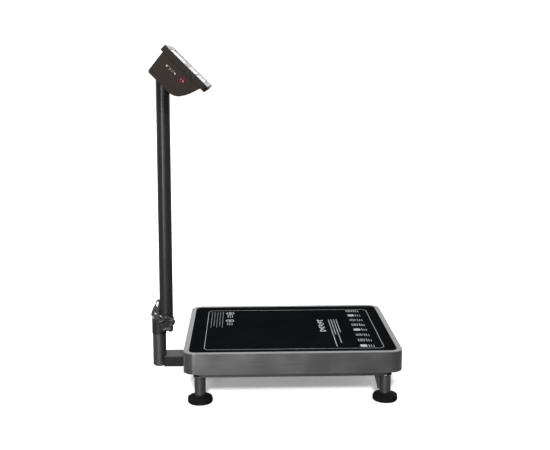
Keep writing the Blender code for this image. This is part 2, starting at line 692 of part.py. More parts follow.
def load_cell():
    """The binocular load cell, clamped to the beam at one end and to the spider at the other."""
    centre = (PLATFORM_X, 0, (CELL_BOTTOM + CELL_TOP) / 2)
    cell = box("load_cell", (CELL_LENGTH, CELL_WIDTH, CELL_HEIGHT), ALUMINIUM, centre)
    bevel(cell, CELL_EDGE, 1)
    for side in (-1, 1):
        place = (PLATFORM_X + side * CELL_BORE * CELL_BORE_PLACE, 0, centre[2])
        cut(cell, rod(f"cell_bore_{side}", CELL_BORE, CELL_WIDTH * 2, None, place, "Y"))


def top_frame():
    """The spider on the load cell that carries the cover."""
    height = SPIDER_TOP - SPIDER_BOTTOM
    middle = (SPIDER_TOP + SPIDER_BOTTOM) / 2
    spider = box("top_frame", (SPIDER_PLATE, SPIDER_PLATE, height), DARK_COAT,
                 (PLATFORM_X, 0, middle))
    reach_x = PLATFORM_LENGTH - 2 * SPIDER_INSET
    reach_y = PLATFORM_WIDTH - 2 * SPIDER_INSET
    for side in (-1, 1):
        weld(spider, box(f"spider_bar_{side}", (reach_x, SPIDER_ARM, height), None,
                         (PLATFORM_X, side * (reach_y - SPIDER_ARM) / 2, middle)))
    weld(spider, box("spider_tie", (SPIDER_ARM, reach_y - SPIDER_ARM, height), None,
                     (PLATFORM_X, 0, middle)))
    seat_x = PLATFORM_X + CELL_LENGTH / 2 - CELL_SEAT / 2
    weld(spider, block("spider_seat", (seat_x - CELL_SEAT / 2, -CELL_WIDTH / 2, CELL_TOP + GAP),
                       (seat_x + CELL_SEAT / 2, CELL_WIDTH / 2, SPIDER_BOTTOM + WELD), None))


def levelling_feet():
    """A rubber pad on a threaded stud under each leg."""
    for number, (x, y, _) in enumerate(leg_places(), 1):
        foot = empty(f"foot_axis_{number}", (x, y, 0))
        rim = arc((PAD_RADIUS - PAD_EDGE, PAD_HEIGHT - PAD_EDGE), PAD_EDGE, 90, 0, COARSE_ARC)
        pad_profile = [(0, PAD_HEIGHT)] + rim
        pad_profile += [(PAD_RADIUS, PAD_CHAMFER), (PAD_RADIUS - PAD_CHAMFER, 0), (0, 0)]
        pad = turned(f"foot_pad_{number}", pad_profile, RUBBER, parent=foot, steps=32)
        socket = rod(f"pad_socket_{number}", STUD_RADIUS + GAP, 2 * PAD_SOCKET, None,
                     (0, 0, PAD_HEIGHT), parent=foot, sides=20)
        cut(pad, socket)
        top = PAD_HEIGHT + STUD_COLLAR_HEIGHT
        end = top + STUD_LENGTH
        stud_profile = [(0, end), (STUD_RADIUS, end), (STUD_RADIUS, top), (STUD_COLLAR, top),
                        (STUD_COLLAR, PAD_HEIGHT + GAP), (STUD_RADIUS, PAD_HEIGHT + GAP),
                        (STUD_RADIUS, PAD_HEIGHT - STUD_SUNK), (0, PAD_HEIGHT - STUD_SUNK)]
        turned(f"foot_stud_{number}", stud_profile, ZINC, parent=foot, steps=20)


# ---------------------------------------------------------------- arm, post and fold joint
def column_arm():
    """The flat tube under the frame that carries the post, coped to the post."""
    start = POST_X + TUBE_RADIUS * ARM_START
    end = PLATFORM_X - PLATFORM_LENGTH / 2 + ARM_REACH
    middle = (ARM_TOP + ARM_BOTTOM) / 2
    centre = ((start + end) / 2, 0, middle)
    arm = box("column_arm", (end - start, ARM_WIDTH, ARM_HEIGHT), GREY_COAT, centre)
    bevel(arm, ARM_EDGE)
    cut(arm, box("arm_bore", (end - start + 2 * OVERCUT, ARM_WIDTH - 2 * ARM_WALL,
                              ARM_HEIGHT - 2 * ARM_WALL), None, centre))
    cut(arm, rod("arm_cope", TUBE_RADIUS + GAP, ARM_HEIGHT * 2, None, (POST_X, 0, middle)))


def lower_post():
    """The round post that stands on the arm's end, and its cap."""
    tube("lower_post", TUBE_RADIUS, TUBE_BORE, ARM_BOTTOM, POST_TOP, GREY_COAT, (POST_X, 0, 0))
    rim = TUBE_RADIUS - CAP_EDGE
    low = ARM_BOTTOM - GAP - CAP_HEAD
    profile = [(0, ARM_BOTTOM + CAP_PLUG), (TUBE_BORE - GAP, ARM_BOTTOM + CAP_PLUG),
               (TUBE_BORE - GAP, ARM_BOTTOM - GAP), (rim, ARM_BOTTOM - GAP),
               (rim, low + CAP_EDGE), (rim - CAP_EDGE, low), (0, low)]
    turned("post_cap", profile, BLACK_PLASTIC, (POST_X, 0, 0))


def hinge_base():
    """The casting on the post: sleeve, two cheeks for the pivot, two lugs for the lever."""
    solid_bottom = POST_TOP + GAP
    base = rod("hinge_base", SLEEVE_RADIUS, SLEEVE_TOP - SLEEVE_BOTTOM, BLACK_CAST,
               (POST_X, 0, (SLEEVE_TOP + SLEEVE_BOTTOM) / 2))
    weld(base, cheeks())
    weld(base, lever_lugs())
    cut(base, rod("sleeve_bore", TUBE_RADIUS + GAP, solid_bottom - SLEEVE_BOTTOM + OVERCUT, None,
                  (POST_X, 0, (solid_bottom + SLEEVE_BOTTOM - OVERCUT) / 2)))
    clear, far = TONGUE_RADIUS + TONGUE_CLEARANCE, TONGUE_SLOT_REACH
    slot = [(-clear, far)] + arc((0, 0), clear, 180, 270, FINE_ARC) + [(far, -clear), (far, far)]
    cut(base, outline("tongue_slot", slot, TONGUE_THICKNESS + 2 * GAP, None, PIVOT, side=True))
    cut(base, rod("pivot_bore_base", PIVOT_RADIUS + GAP, THROUGH, None, PIVOT, "Y"))
    half, room = LEVER_THICKNESS / 2 + GAP, LEVER_SLOT_ROOM
    cut(base, block("lever_slot", (COLUMN_X - LEVER_REACH - room, -half, SLEEVE_TOP - LUG_SINK),
                    (TUBE_BACK + room, half, PIVOT_HEIGHT + LEVER_SLOT_HEIGHT), None))
    cut(base, rod("lever_pin_bore", LEVER_PIN_RADIUS + GAP, THROUGH, None, LEVER_PIN, "Y", sides=20))


def cheeks():
    """The cheek block's outline: round about the pivot, running down into the sleeve."""
    lead = POST_X - PIVOT.x
    points = arc((0, 0), CHEEK_RADIUS, *CHEEK_ARC)
    drop = SLEEVE_BOTTOM + CHEEK_DROP - PIVOT_HEIGHT
    points += [(lead + SLEEVE_RADIUS * CHEEK_LEAN, drop), (lead, drop),
               (lead, SLEEVE_TOP - PIVOT_HEIGHT)]
    return outline("cheek_block", points, 2 * CHEEK_OUTER, None, PIVOT, side=True)


def lever_lugs():
    """The pair of lugs, before the lever's slot is cut, as one outline about the lever's pin."""
    floor = SLEEVE_TOP - LUG_FOOT - LEVER_PIN.z
    front = TUBE_BACK - GAP - LEVER_PIN.x
    points = [(front, floor), (front, LUG_HEIGHT)]
    points += arc((0, 0), LUG_RADIUS, *LUG_ARC)
    points += [LUG_BACK, (-LUG_ROOT, floor)]
    width = LEVER_THICKNESS + 2 * GAP + 2 * LUG_THICKNESS
    return outline("lever_lug_block", points, width, None, LEVER_PIN, side=True)


def lever_pin():
    """The pin of the lock lever."""
    half = LEVER_THICKNESS / 2 + GAP + LUG_THICKNESS + LEVER_PIN_PROUD
    rod("lever_pin", LEVER_PIN_RADIUS, 2 * half, ZINC, LEVER_PIN, "Y", sides=20)


def lock_lever():
    """The sprung lever behind the column, with its nose in the column's notch."""
    axis = empty("lever_axis", LEVER_PIN)
    front = TUBE_BACK - GAP - LEVER_PIN.x
    lip = NOSE_DEPTH + GAP
    points = [(front, LEVER_TOP), *LEVER_BACK, (front, LEVER_HEEL), (front, LEVER_NOSE - lip),
              (front + lip, LEVER_NOSE), (front, LEVER_NOSE + lip)]
    lever = outline("lock_lever", points, LEVER_THICKNESS, BLACK_CAST, parent=axis, side=True)
    lower, upper = FINGER_WINDOW
    window = arc(lower, FINGER_WINDOW_RADIUS, 200, 340, 5)
    window += arc(upper, FINGER_WINDOW_RADIUS, 20, 160, 5)
    cut(lever, outline("finger_window", window, THROUGH, None, parent=axis, side=True))
    cut(lever, rod("lever_bore", LEVER_PIN_RADIUS + GAP, THROUGH, None, axis="Y", parent=axis,
                   sides=20))
    return LEVER_NOSE + LEVER_PIN.z


def lever_spring():
    """The coil spring under the lever's tail, swept in triangles along its helix."""
    bottom = SLEEVE_TOP - LUG_SINK + GAP + SPRING_WIRE
    top = LEVER_PIN.z - LEVER_FOOT - GAP - SPRING_WIRE
    count = SPRING_TURNS * SPRING_STEPS
    rise = (top - bottom) / (2 * math.pi * SPRING_TURNS)
    bm = bmesh.new()
    rings = []
    for i in range(count + 1):
        angle = 2 * math.pi * SPRING_TURNS * i / count
        outwards = Vector((math.cos(angle), math.sin(angle), 0))
        along = Vector((-SPRING_RADIUS * outwards.y, SPRING_RADIUS * outwards.x, rise)).normalized()
        across = along.cross(outwards)
        middle = SPRING_RADIUS * outwards + Vector((0, 0, bottom + rise * angle))
        rings.append([bm.verts.new(middle + x * outwards + y * across)
                      for x, y in ring_points(SPRING_WIRE, SPRING_SIDES)])
    for a, b in zip(rings, rings[1:]):
        for i in range(SPRING_SIDES):
            k = (i + 1) % SPRING_SIDES
            bm.faces.new((a[i], a[k], b[k]))
            bm.faces.new((a[i], b[k], b[i]))
    bm.faces.new(rings[0])
    bm.faces.new(rings[-1])
    bmesh.ops.recalc_face_normals(bm, faces=bm.faces)
    mesh = bpy.data.meshes.new("lever_spring")
    bm.to_mesh(mesh)
    bm.free()
    smooth(mesh)
    add("lever_spring", mesh, ZINC, (LEVER_PIN.x - SPRING_BACK, 0, 0))


def ring_points(radius, count):
    """Points round a circle about the origin."""
    return arc((0, 0), radius, 0, 360 * (count - 1) / count, count)


def pivot_hardware():
    """The pivot bolt, the washer under the knob, and the star knob."""
    shank_end = -(CHEEK_OUTER + GAP * 2 + WASHER_THICKNESS + KNOB_THICKNESS * BOLT_REACH)
    shank_start = CHEEK_OUTER + GAP
    bolt = rod("pivot_bolt", PIVOT_RADIUS, shank_start - shank_end + BOLT_SUNK, ZINC,
               (PIVOT.x, (shank_start + BOLT_SUNK + shank_end) / 2, PIVOT.z), "Y", sides=24)
    weld(bolt, rod("bolt_head", BOLT_HEAD_RADIUS, BOLT_HEAD_HEIGHT, None,
                   (PIVOT.x, shank_start + BOLT_HEAD_HEIGHT / 2, PIVOT.z), "Y", sides=6))
    washer_y = -(CHEEK_OUTER + GAP + WASHER_THICKNESS / 2)
    washer = rod("pivot_washer", WASHER_RADIUS, WASHER_THICKNESS, ZINC,
                 (PIVOT.x, washer_y, PIVOT.z), "Y", sides=28)
    cut(washer, rod("washer_bore", PIVOT_RADIUS + GAP, OVERCUT, None, (PIVOT.x, washer_y, PIVOT.z),
                    "Y", sides=24))
    fold_knob(-(CHEEK_OUTER + 2 * GAP + WASHER_THICKNESS))


def fold_knob(back):
    """The star knob that clamps the fold, turning on the bolt."""
    axis = empty("knob_axis", PIVOT)
    count = KNOB_LOBES * KNOB_STEPS
    middle, swing = (KNOB_RADIUS + KNOB_WAIST) / 2, (KNOB_RADIUS - KNOB_WAIST) / 2
    points = []
    for i in range(count):
        angle = 2 * math.pi * i / count
        radius = middle + swing * math.cos(KNOB_LOBES * (angle - KNOB_TURN))
        points.append((radius * math.cos(angle), radius * math.sin(angle)))
    thick = KNOB_THICKNESS - KNOB_HUB_HEIGHT
    knob = outline("fold_knob", points, thick, BLACK_PLASTIC,
                   (0, back - KNOB_HUB_HEIGHT - thick / 2, 0), axis, side=True)
    bevel(knob, KNOB_EDGE, 2, SHARP)
    hub = KNOB_HUB_HEIGHT + 2 * WELD
    weld(knob, rod("knob_hub", KNOB_HUB_RADIUS, hub, None, (0, back - hub / 2, 0), "Y", axis, 24))
    cut(knob, rod("knob_bore", PIVOT_RADIUS + GAP, 2 * KNOB_BORE * KNOB_THICKNESS, None,
                  (0, back, 0), "Y", axis, 24))


def hinge_knuckle(axis):
    """The casting in the column's lower end, with its tongue between the cheeks."""
    centre_x = COLUMN_X - PIVOT.x
    seat = KNUCKLE_SEAT - PIVOT_HEIGHT
    top = seat + KNUCKLE_COLLAR + SPIGOT_LENGTH
    collar = rod("hinge_knuckle", TUBE_RADIUS, KNUCKLE_COLLAR, BLACK_CAST,
                 (centre_x, 0, seat + KNUCKLE_COLLAR / 2), parent=axis)
    weld(collar, rod("knuckle_spigot", TUBE_BORE - GAP, top - seat - WELD, None,
                     (centre_x, 0, (top + seat + WELD) / 2), parent=axis))
    tongue = [(-TONGUE_RADIUS, seat + WELD)]
    tongue += arc((0, 0), TONGUE_RADIUS, 180, 360, 2 * FINE_ARC - 1)
    tongue += [(TONGUE_RADIUS, seat + WELD)]
    weld(collar, outline("knuckle_tongue", tongue, TONGUE_THICKNESS, None, parent=axis, side=True))
    cut(collar, rod("pivot_bore_tongue", PIVOT_RADIUS + GAP, THROUGH, None, axis="Y", parent=axis,
                    sides=24))


def upper_column(axis, notch_height):
    """The column tube, notched at the back for the lock lever's nose."""
    low, high = COLUMN_BOTTOM - PIVOT_HEIGHT, COLUMN_TOP - PIVOT_HEIGHT
    place = (COLUMN_X - PIVOT.x, 0, 0)
    column = tube("upper_column", TUBE_RADIUS, TUBE_BORE, low, high, GREY_COAT, place, parent=axis)
    side = 2 * (NOSE_DEPTH + GAP) / math.sqrt(2) + NOTCH_ROOM
    cut(column, box("nose_notch", (side, LEVER_THICKNESS + 2 * NOTCH_ROOM, side), None,
                    (TUBE_BACK - PIVOT.x, 0, notch_height - PIVOT_HEIGHT), axis,
                    (0, math.radians(45), 0)))


def head_spigot(axis):
    """The turned plug in the column's top, with the stud the console swivels on."""
    seat = COLUMN_TOP + GAP
    chamfer = SPIGOT_CHAMFER
    profile = [(0, STUD_TOP), (SPIGOT_STUD - chamfer, STUD_TOP), (SPIGOT_STUD, STUD_TOP - chamfer),
               (SPIGOT_STUD, seat + SPIGOT_FLANGE), (TUBE_RADIUS, seat + SPIGOT_FLANGE),
               (TUBE_RADIUS, seat), (TUBE_BORE - GAP, seat),
               (TUBE_BORE - GAP, seat - SPIGOT_PLUG), (0, seat - SPIGOT_PLUG)]
    place = (COLUMN_X - PIVOT.x, 0, -PIVOT_HEIGHT)
    turned("head_spigot", profile, ZINC, place, parent=axis)
    low = BRACKET_BOTTOM + BRACKET_PLATE + GAP - PIVOT_HEIGHT
    centre = (COLUMN_X - PIVOT.x, 0, low + SPIGOT_NUT_HEIGHT / 2)
    nut = rod("spigot_nut", SPIGOT_NUT_RADIUS, SPIGOT_NUT_HEIGHT, ZINC, centre, parent=axis, sides=6)
    cut(nut, rod("nut_bore", SPIGOT_STUD + GAP, THROUGH, None, centre, parent=axis, sides=28))


# ---------------------------------------------------------------- console: shell
# In the console's frame x runs down the face, y across it, and z out of it.
def housing_outline(inset, front):
    """The rear housing's side view, drawn in by a wall when inset is set."""
    back = -HOUSING_DEPTH + inset
    corner = max(HOUSING_EDGE - inset, HOUSING_MIN_EDGE)
    top = HOUSING_TOP + inset
    lean = HOUSING_LEAN * (HOUSING_DEPTH - BEZEL_DEPTH)
    knee = (KNEE_PLACE, KNEE_RADIUS - HOUSING_DEPTH)
    turn = math.radians(BELLY_TURN - 90)
    reach = KNEE_RADIUS - SWEEP_RADIUS
    sweep = (knee[0] + reach * math.cos(turn), knee[1] + reach * math.sin(turn))
    radius = SWEEP_RADIUS - inset
    last = math.degrees(math.asin((front - sweep[1]) / radius))
    points = [(top, front)]
    points += arc((top + lean + corner, back + corner), corner, HOUSING_LEAN_ANGLE, 270, 5)
    points += arc(knee, KNEE_RADIUS - inset, -90, BELLY_TURN - 90, 6)
    points += arc(sweep, radius, BELLY_TURN - 90, last, 5)[1:]
    return points


def rear_housing(head, swivel):
    """The console's rear shell with its openings for the column and the fittings."""
    front = -BEZEL_DEPTH - GAP
    shell = outline("rear_housing", housing_outline(0, front), 2 * HOUSING_HALF, HEAD_COAT,
                    parent=head, side=True)
    bevel(shell, HOUSING_EDGE, HOUSING_EDGE_STEPS, SHARP).limit_method = "WEIGHT"
    mark_side_edges(shell, front)
    cavity = housing_outline(HOUSING_WALL, front + HOUSING_WALL)
    cut(shell, outline("housing_cavity", cavity, 2 * (HOUSING_HALF - HOUSING_WALL), None,
                       parent=head, side=True))
    cut(shell, rod("column_clearance", TUBE_RADIUS + COLUMN_CLEARANCE, COLUMN_CUT, None,
                   (0, 0, BRACKET_BOTTOM - COLUMN_CUT / 2 - COLUMN_TOP), parent=swivel))
    side = -HOUSING_HALF
    cut(shell, box("serial_cutout", (SERIAL_SIZE[0] + 2 * GAP, WALL_CUT, SERIAL_SIZE[1] + 2 * GAP),
                   None, (SERIAL_CENTRE[0], side, SERIAL_CENTRE[1]), head))
    opening = [size + SWITCH_NECK + 2 * GAP for size in ROCKER_SIZE]
    cut(shell, box("switch_cutout", (opening[0], WALL_CUT, opening[1]), None,
                   (SWITCH_CENTRE[0], side, SWITCH_CENTRE[1]), head))
    cut(shell, rod("inlet_cutout", INLET_RADIUS + GAP, WALL_CUT, None,
                   (INLET_CENTRE[0], HOUSING_HALF, INLET_CENTRE[1]), "Y", head, 28))


def mark_side_edges(item, front):
    """Weight the outline's edges on both side faces, except along the open front."""
    mesh = item.data
    half = max(v.co.y for v in mesh.vertices)
    weights = mesh.attributes.new("bevel_weight_edge", "FLOAT", "EDGE")
    for edge in mesh.edges:
        a, b = (mesh.vertices[i].co for i in edge.vertices)
        on_side = abs(abs(a.y) - half) < NEAR and abs(a.y - b.y) < NEAR
        at_front = abs(a.z - front) < NEAR and abs(b.z - front) < NEAR
        weights.data[edge.index].value = 1.0 if on_side and not at_front else 0.0


def front_bezel(head):
    """The front frame: openings for window, keys and printer door, open at the back."""
    middle = -BEZEL_DEPTH / 2
    points = rounded_rectangle(HEAD_LENGTH, HEAD_WIDTH, BEZEL_CORNER)
    bezel = outline("front_bezel", points, BEZEL_DEPTH, HEAD_COAT, (HEAD_LENGTH / 2, 0, middle), head)
    bevel(bezel, BEZEL_EDGE, 2, SHARP)
    cavity = rounded_rectangle(HEAD_LENGTH - 2 * BEZEL_WALL, HEAD_WIDTH - 2 * BEZEL_WALL,
                               BEZEL_CORNER - BEZEL_WALL)
    cut(bezel, outline("bezel_cavity", cavity, BEZEL_DEPTH * 2, None,
                       (HEAD_LENGTH / 2, 0, -BEZEL_WALL - BEZEL_DEPTH), head))
    cut(bezel, box("window_cutout", (*WINDOW_SIZE, THROUGH), None, (*WINDOW_CENTRE, 0), head))
    for place in key_places():
        opening = KEY_SIZE + 2 * KEY_GAP
        cut(bezel, box("key_cutout", (opening, opening, THROUGH), None, (*place, 0), head))
    cutout = (DOOR_SIZE[0] + DOOR_TOP_GAP + DOOR_GAP, DOOR_SIZE[1] + 2 * DOOR_GAP, THROUGH)
    cut(bezel, box("door_cutout", cutout, None,
                   (DOOR_CENTRE[0] + (DOOR_GAP - DOOR_TOP_GAP) / 2, DOOR_CENTRE[1], 0), head))
    for number, place in enumerate(PORT_CENTRES, 1):
        cut(bezel, box(f"port_cutout_{number}", (PORT_SIZE + 2 * GAP, WALL_CUT, PORT_SIZE + 2 * GAP),
                       None, (place[0], -HEAD_WIDTH / 2, place[1]), head))
    for side in (-1, 1):
        out, rise = PIN_EAR_OFFSET
        place = (door_axis()[0], DOOR_CENTRE[1] + side * (DOOR_SIZE[1] / 2 + out),
                 door_axis()[2] + rise)
        weld(bezel, box(f"pin_ear_{side}", PIN_EAR, None, place, head))
    length = DOOR_SIZE[1] + 2 * PIN_BORE_OVER
    cut(bezel, rod("pin_bore_bezel", DOOR_PIN_RADIUS + GAP, length, None, door_axis(), "Y", head, 16))


def key_places():
    """Centres of the keys on the face, row by row."""
    rows = [KEY_CENTRE[0] + (r - (KEY_ROWS - 1) / 2) * KEY_PITCH for r in range(KEY_ROWS)]
    columns = [KEY_CENTRE[1] + (c - (KEY_COLUMNS - 1) / 2) * KEY_PITCH for c in range(KEY_COLUMNS)]
    return [(x, y) for x in rows for y in columns]


def door_axis():
    """The printer door's hinge axis in the console's frame."""
    return (DOOR_CENTRE[0] - DOOR_SIZE[0] / 2 + DOOR_PIN_INSET, DOOR_CENTRE[1], -DOOR_PIN_DEPTH)


# ---------------------------------------------------------------- console: display and keys
def display(head):
    """The window behind the bezel and the module behind the window."""
    seat = -BEZEL_WALL - GAP
    size = (WINDOW_SIZE[0] + 2 * WINDOW_LAP, WINDOW_SIZE[1] + 2 * WINDOW_LAP, WINDOW_THICKNESS)
    window = box("display_window", size, GLASS, (*WINDOW_CENTRE, seat - WINDOW_THICKNESS / 2), head)
    step = (WINDOW_SIZE[0] - 2 * GAP, WINDOW_SIZE[1] - 2 * GAP, BEZEL_WALL + WELD)
    weld(window, box("window_step", step, None, (*WINDOW_CENTRE, seat + (BEZEL_WALL - WELD) / 2),
                     head))
    low = seat - WINDOW_THICKNESS - GAP - MODULE_DEPTH
    size = (WINDOW_SIZE[0] - 2 * MODULE_INSET, WINDOW_SIZE[1] - 2 * MODULE_INSET, MODULE_DEPTH)
    module = box("display_module", size, BOARD, (*WINDOW_CENTRE, low + MODULE_DEPTH / 2), head)
    bevel(module, MODULE_EDGE, 1)


def keys(head):
    """The moving keys and the carrier plate behind them."""
    for number, (x, y) in enumerate(key_places(), 1):
        axis = empty(f"key_axis_{number:02d}", (x, y, 0), head)
        key = box(f"key_{number:02d}", (KEY_SIZE, KEY_SIZE, KEY_HEIGHT), KEY_GREY,
                  (0, 0, KEY_PROUD - KEY_HEIGHT / 2), axis)
        bevel(key, KEY_EDGE)
    back = KEY_PROUD - KEY_HEIGHT - KEY_TRAVEL - KEY_STOP
    size = (KEY_ROWS * KEY_PITCH - 2 * CARRIER_INSET, KEY_COLUMNS * KEY_PITCH - 2 * CARRIER_INSET,
            CARRIER_THICKNESS)
    plate = box("key_carrier", size, BLACK_PLASTIC, (*KEY_CENTRE, back - size[2] / 2), head)
    bevel(plate, CARRIER_EDGE, 1)


def electronics(head):
    """Main board and battery."""
    board = box("main_board", BOARD_SIZE, BOARD, BOARD_CENTRE, head)
    bevel(board, BOARD_EDGE, 1)
    battery = box("battery", BATTERY_SIZE, BLACK_PLASTIC, BATTERY_CENTRE, head)
    bevel(battery, BATTERY_EDGE)


# ---------------------------------------------------------------- console: side fittings
def side_fittings(head):
    """Serial connector, ports, power inlet, and the rocker switch."""
    wall = -HOUSING_HALF
    serial = box("serial_connector", (SERIAL_SIZE[0], SERIAL_DEPTH, SERIAL_SIZE[1]), BLACK_PLASTIC,
                 (SERIAL_CENTRE[0], wall + SERIAL_DEPTH / 2 - SERIAL_PROUD, SERIAL_CENTRE[1]), head)
    bevel(serial, SERIAL_EDGE)
    over, thick, high = SERIAL_FLANGE
    weld(serial, box("serial_flange", (SERIAL_SCREW_PITCH + over, thick, high), None,
                     (SERIAL_CENTRE[0], wall + HOUSING_WALL + GAP + thick / 2, SERIAL_CENTRE[1]),
                     head))
    for number, place in enumerate(PORT_CENTRES, 1):
        port = box(f"side_port_{number}", (PORT_SIZE, PORT_DEPTH, PORT_SIZE), BLACK_PLASTIC,
                   (place[0], -HEAD_WIDTH / 2 + PORT_DEPTH / 2 + GAP, place[1]), head)
        mouth = PORT_SIZE - 2 * PORT_WALL
        cut(port, box(f"port_mouth_{number}", (mouth, WALL_CUT, mouth), None,
                      (place[0], -HEAD_WIDTH / 2, place[1]), head))
    place = Vector((INLET_CENTRE[0], -wall, INLET_CENTRE[1]))
    inlet = rod("power_inlet", INLET_RADIUS, INLET_DEPTH, BLACK_PLASTIC,
                place - Vector((0, INLET_DEPTH / 2 - INLET_PROUD, 0)), "Y", head, 28)
    over, thick = INLET_FLANGE
    weld(inlet, rod("inlet_flange", INLET_RADIUS + over, thick, None,
                    place - Vector((0, HOUSING_WALL + GAP + thick / 2, 0)), "Y", head, 28))
    cut(inlet, rod("inlet_mouth", INLET_RADIUS - INLET_WALL, INLET_BORE, None, place, "Y", head, 28))
    rocker_switch(head, wall)


def rocker_switch(head, wall):
    """The switch frame and its rocker, resting pressed in at one end."""
    place = Vector((SWITCH_CENTRE[0], wall, SWITCH_CENTRE[1]))
    frame = box("switch_frame", (SWITCH_SIZE[0], SWITCH_FLANGE, SWITCH_SIZE[1]), BLACK_PLASTIC,
                place - Vector((0, SWITCH_FLANGE / 2 + GAP, 0)), head)
    neck = (ROCKER_SIZE[0] + SWITCH_NECK, SWITCH_NECK_LENGTH, ROCKER_SIZE[1] + SWITCH_NECK)
    weld(frame, box("switch_neck", neck, None,
                    place + Vector((0, SWITCH_NECK_LENGTH / 2 - SWITCH_SINK, 0)), head))
    mouth = (ROCKER_SIZE[0] + ROCKER_PLAY[0], SWITCH_MOUTH, ROCKER_SIZE[1] + ROCKER_PLAY[1])
    cut(frame, box("switch_mouth", mouth, None, place, head))
    axis = empty("rocker_axis", place + Vector((0, ROCKER_PIVOT, 0)), head, (0, 0, -ROCKER_ANGLE))
    half = ROCKER_SIZE[0] / 2 - ROCKER_GAP
    tip = ROCKER_FACE + half * math.tan(ROCKER_ANGLE)
    points = [(-half, ROCKER_SHOULDER), (-half, tip), (0, ROCKER_FACE), (half, tip),
              (half, ROCKER_SHOULDER), (0, ROCKER_HEEL)]
    rocker = outline("power_rocker", points, ROCKER_SIZE[1], RED, parent=axis)
    bevel(rocker, ROCKER_EDGE, 1, SHARP)


# ---------------------------------------------------------------- console: label printer
def printer(head):
    """Chassis, print head, motor, roll, spool, platen, door and its pin."""
    half = ROLL_WIDTH / 2 + SPOOL_PLAY + PRINTER_SIDE_GAP
    middle = DOOR_CENTRE[1]
    back = PRINTER_BACK
    top = DOOR_CENTRE[0] - DOOR_SIZE[0] / 2 + PRINTER_TOP_INSET
    bottom = DOOR_CENTRE[0] + DOOR_SIZE[0] / 2 - PRINTER_FOOT_INSET
    base = (bottom - top - PRINTER_BASE_SHORT, 2 * half + PRINTER_PLATE, PRINTER_BASE)
    chassis = box("printer_chassis", base, ZINC,
                  ((top + bottom) / 2 - PRINTER_BASE_SHIFT, middle,
                   back + PRINTER_LIFT + PRINTER_BASE / 2), head)
    toe = bottom + PRINTER_TOE
    for side in (-1, 1):
        y = middle + side * (half + PRINTER_PLATE / 2)
        plate = [(top, back), (bottom - PRINTER_HEEL, back), (toe, -PRINTER_TOE_DEPTH),
                 (toe, -PRINTER_LIP), (top, -PRINTER_LIP)]
        weld(chassis, outline(f"chassis_side_{side}", plate, PRINTER_PLATE, None, (0, y, 0), head,
                              side=True))
    weld(chassis, box("chassis_tie", (TIE_SIZE[0], 2 * (half + WELD), TIE_SIZE[1]), None,
                      (bottom - TIE_PLACE[0], middle, TIE_PLACE[1]), head))
    slot_depth = -ROLL_CENTRE[1]
    seat = AXLE_RADIUS + AXLE_PLAY
    cut(chassis, box("axle_slot", (2 * seat, THROUGH, slot_depth), None,
                     (ROLL_CENTRE[0], middle, -slot_depth / 2), head))
    cut(chassis, rod("axle_seat", seat, THROUGH, None, (ROLL_CENTRE[0], middle, ROLL_CENTRE[1]),
                     "Y", head, 24))
    length, thick = PRINT_HEAD_SIZE
    print_head_top = PLATEN_CENTRE[1] - PLATEN_RADIUS - PRINT_HEAD_GAP
    print_head = box("print_head", (length, 2 * (half - PRINT_HEAD_SIDE), thick), ALUMINIUM,
                     (PLATEN_CENTRE[0] - PRINT_HEAD_BACK, middle, print_head_top - thick / 2), head)
    bevel(print_head, PRINT_HEAD_EDGE, 1)
    motor_y = middle - half - PRINTER_PLATE - GAP - MOTOR_LENGTH / 2
    motor = rod("feed_motor", MOTOR_RADIUS, MOTOR_LENGTH, ALUMINIUM,
                (bottom - MOTOR_PLACE[0], motor_y, MOTOR_PLACE[1]), "Y", head, 28)
    bevel(motor, MOTOR_EDGE, 1)
    label_roll(head, middle)
    printer_door(head, half)


def label_roll(head, middle):
    """The label roll on its spool."""
    axis = empty("roll_axis", (ROLL_CENTRE[0], middle, ROLL_CENTRE[1]), head)
    tube("label_roll", ROLL_RADIUS, ROLL_CORE + GAP, -ROLL_WIDTH / 2, ROLL_WIDTH / 2, PAPER,
         (0, 0, 0), "Y", axis, 40)
    end = ROLL_WIDTH / 2 + SPOOL_FLANGE
    tip = ROLL_WIDTH / 2 + SPOOL_PLAY + PRINTER_SIDE_GAP + PRINTER_PLATE + SPOOL_FLANGE
    profile = [(0, tip), (AXLE_RADIUS, tip), (AXLE_RADIUS, end), (ROLL_CORE, end),
               (ROLL_CORE, -end), (AXLE_RADIUS, -end), (AXLE_RADIUS, -tip), (0, -tip)]
    turned("roll_spool", profile, BLACK_PLASTIC, axis="Y", parent=axis, steps=28)


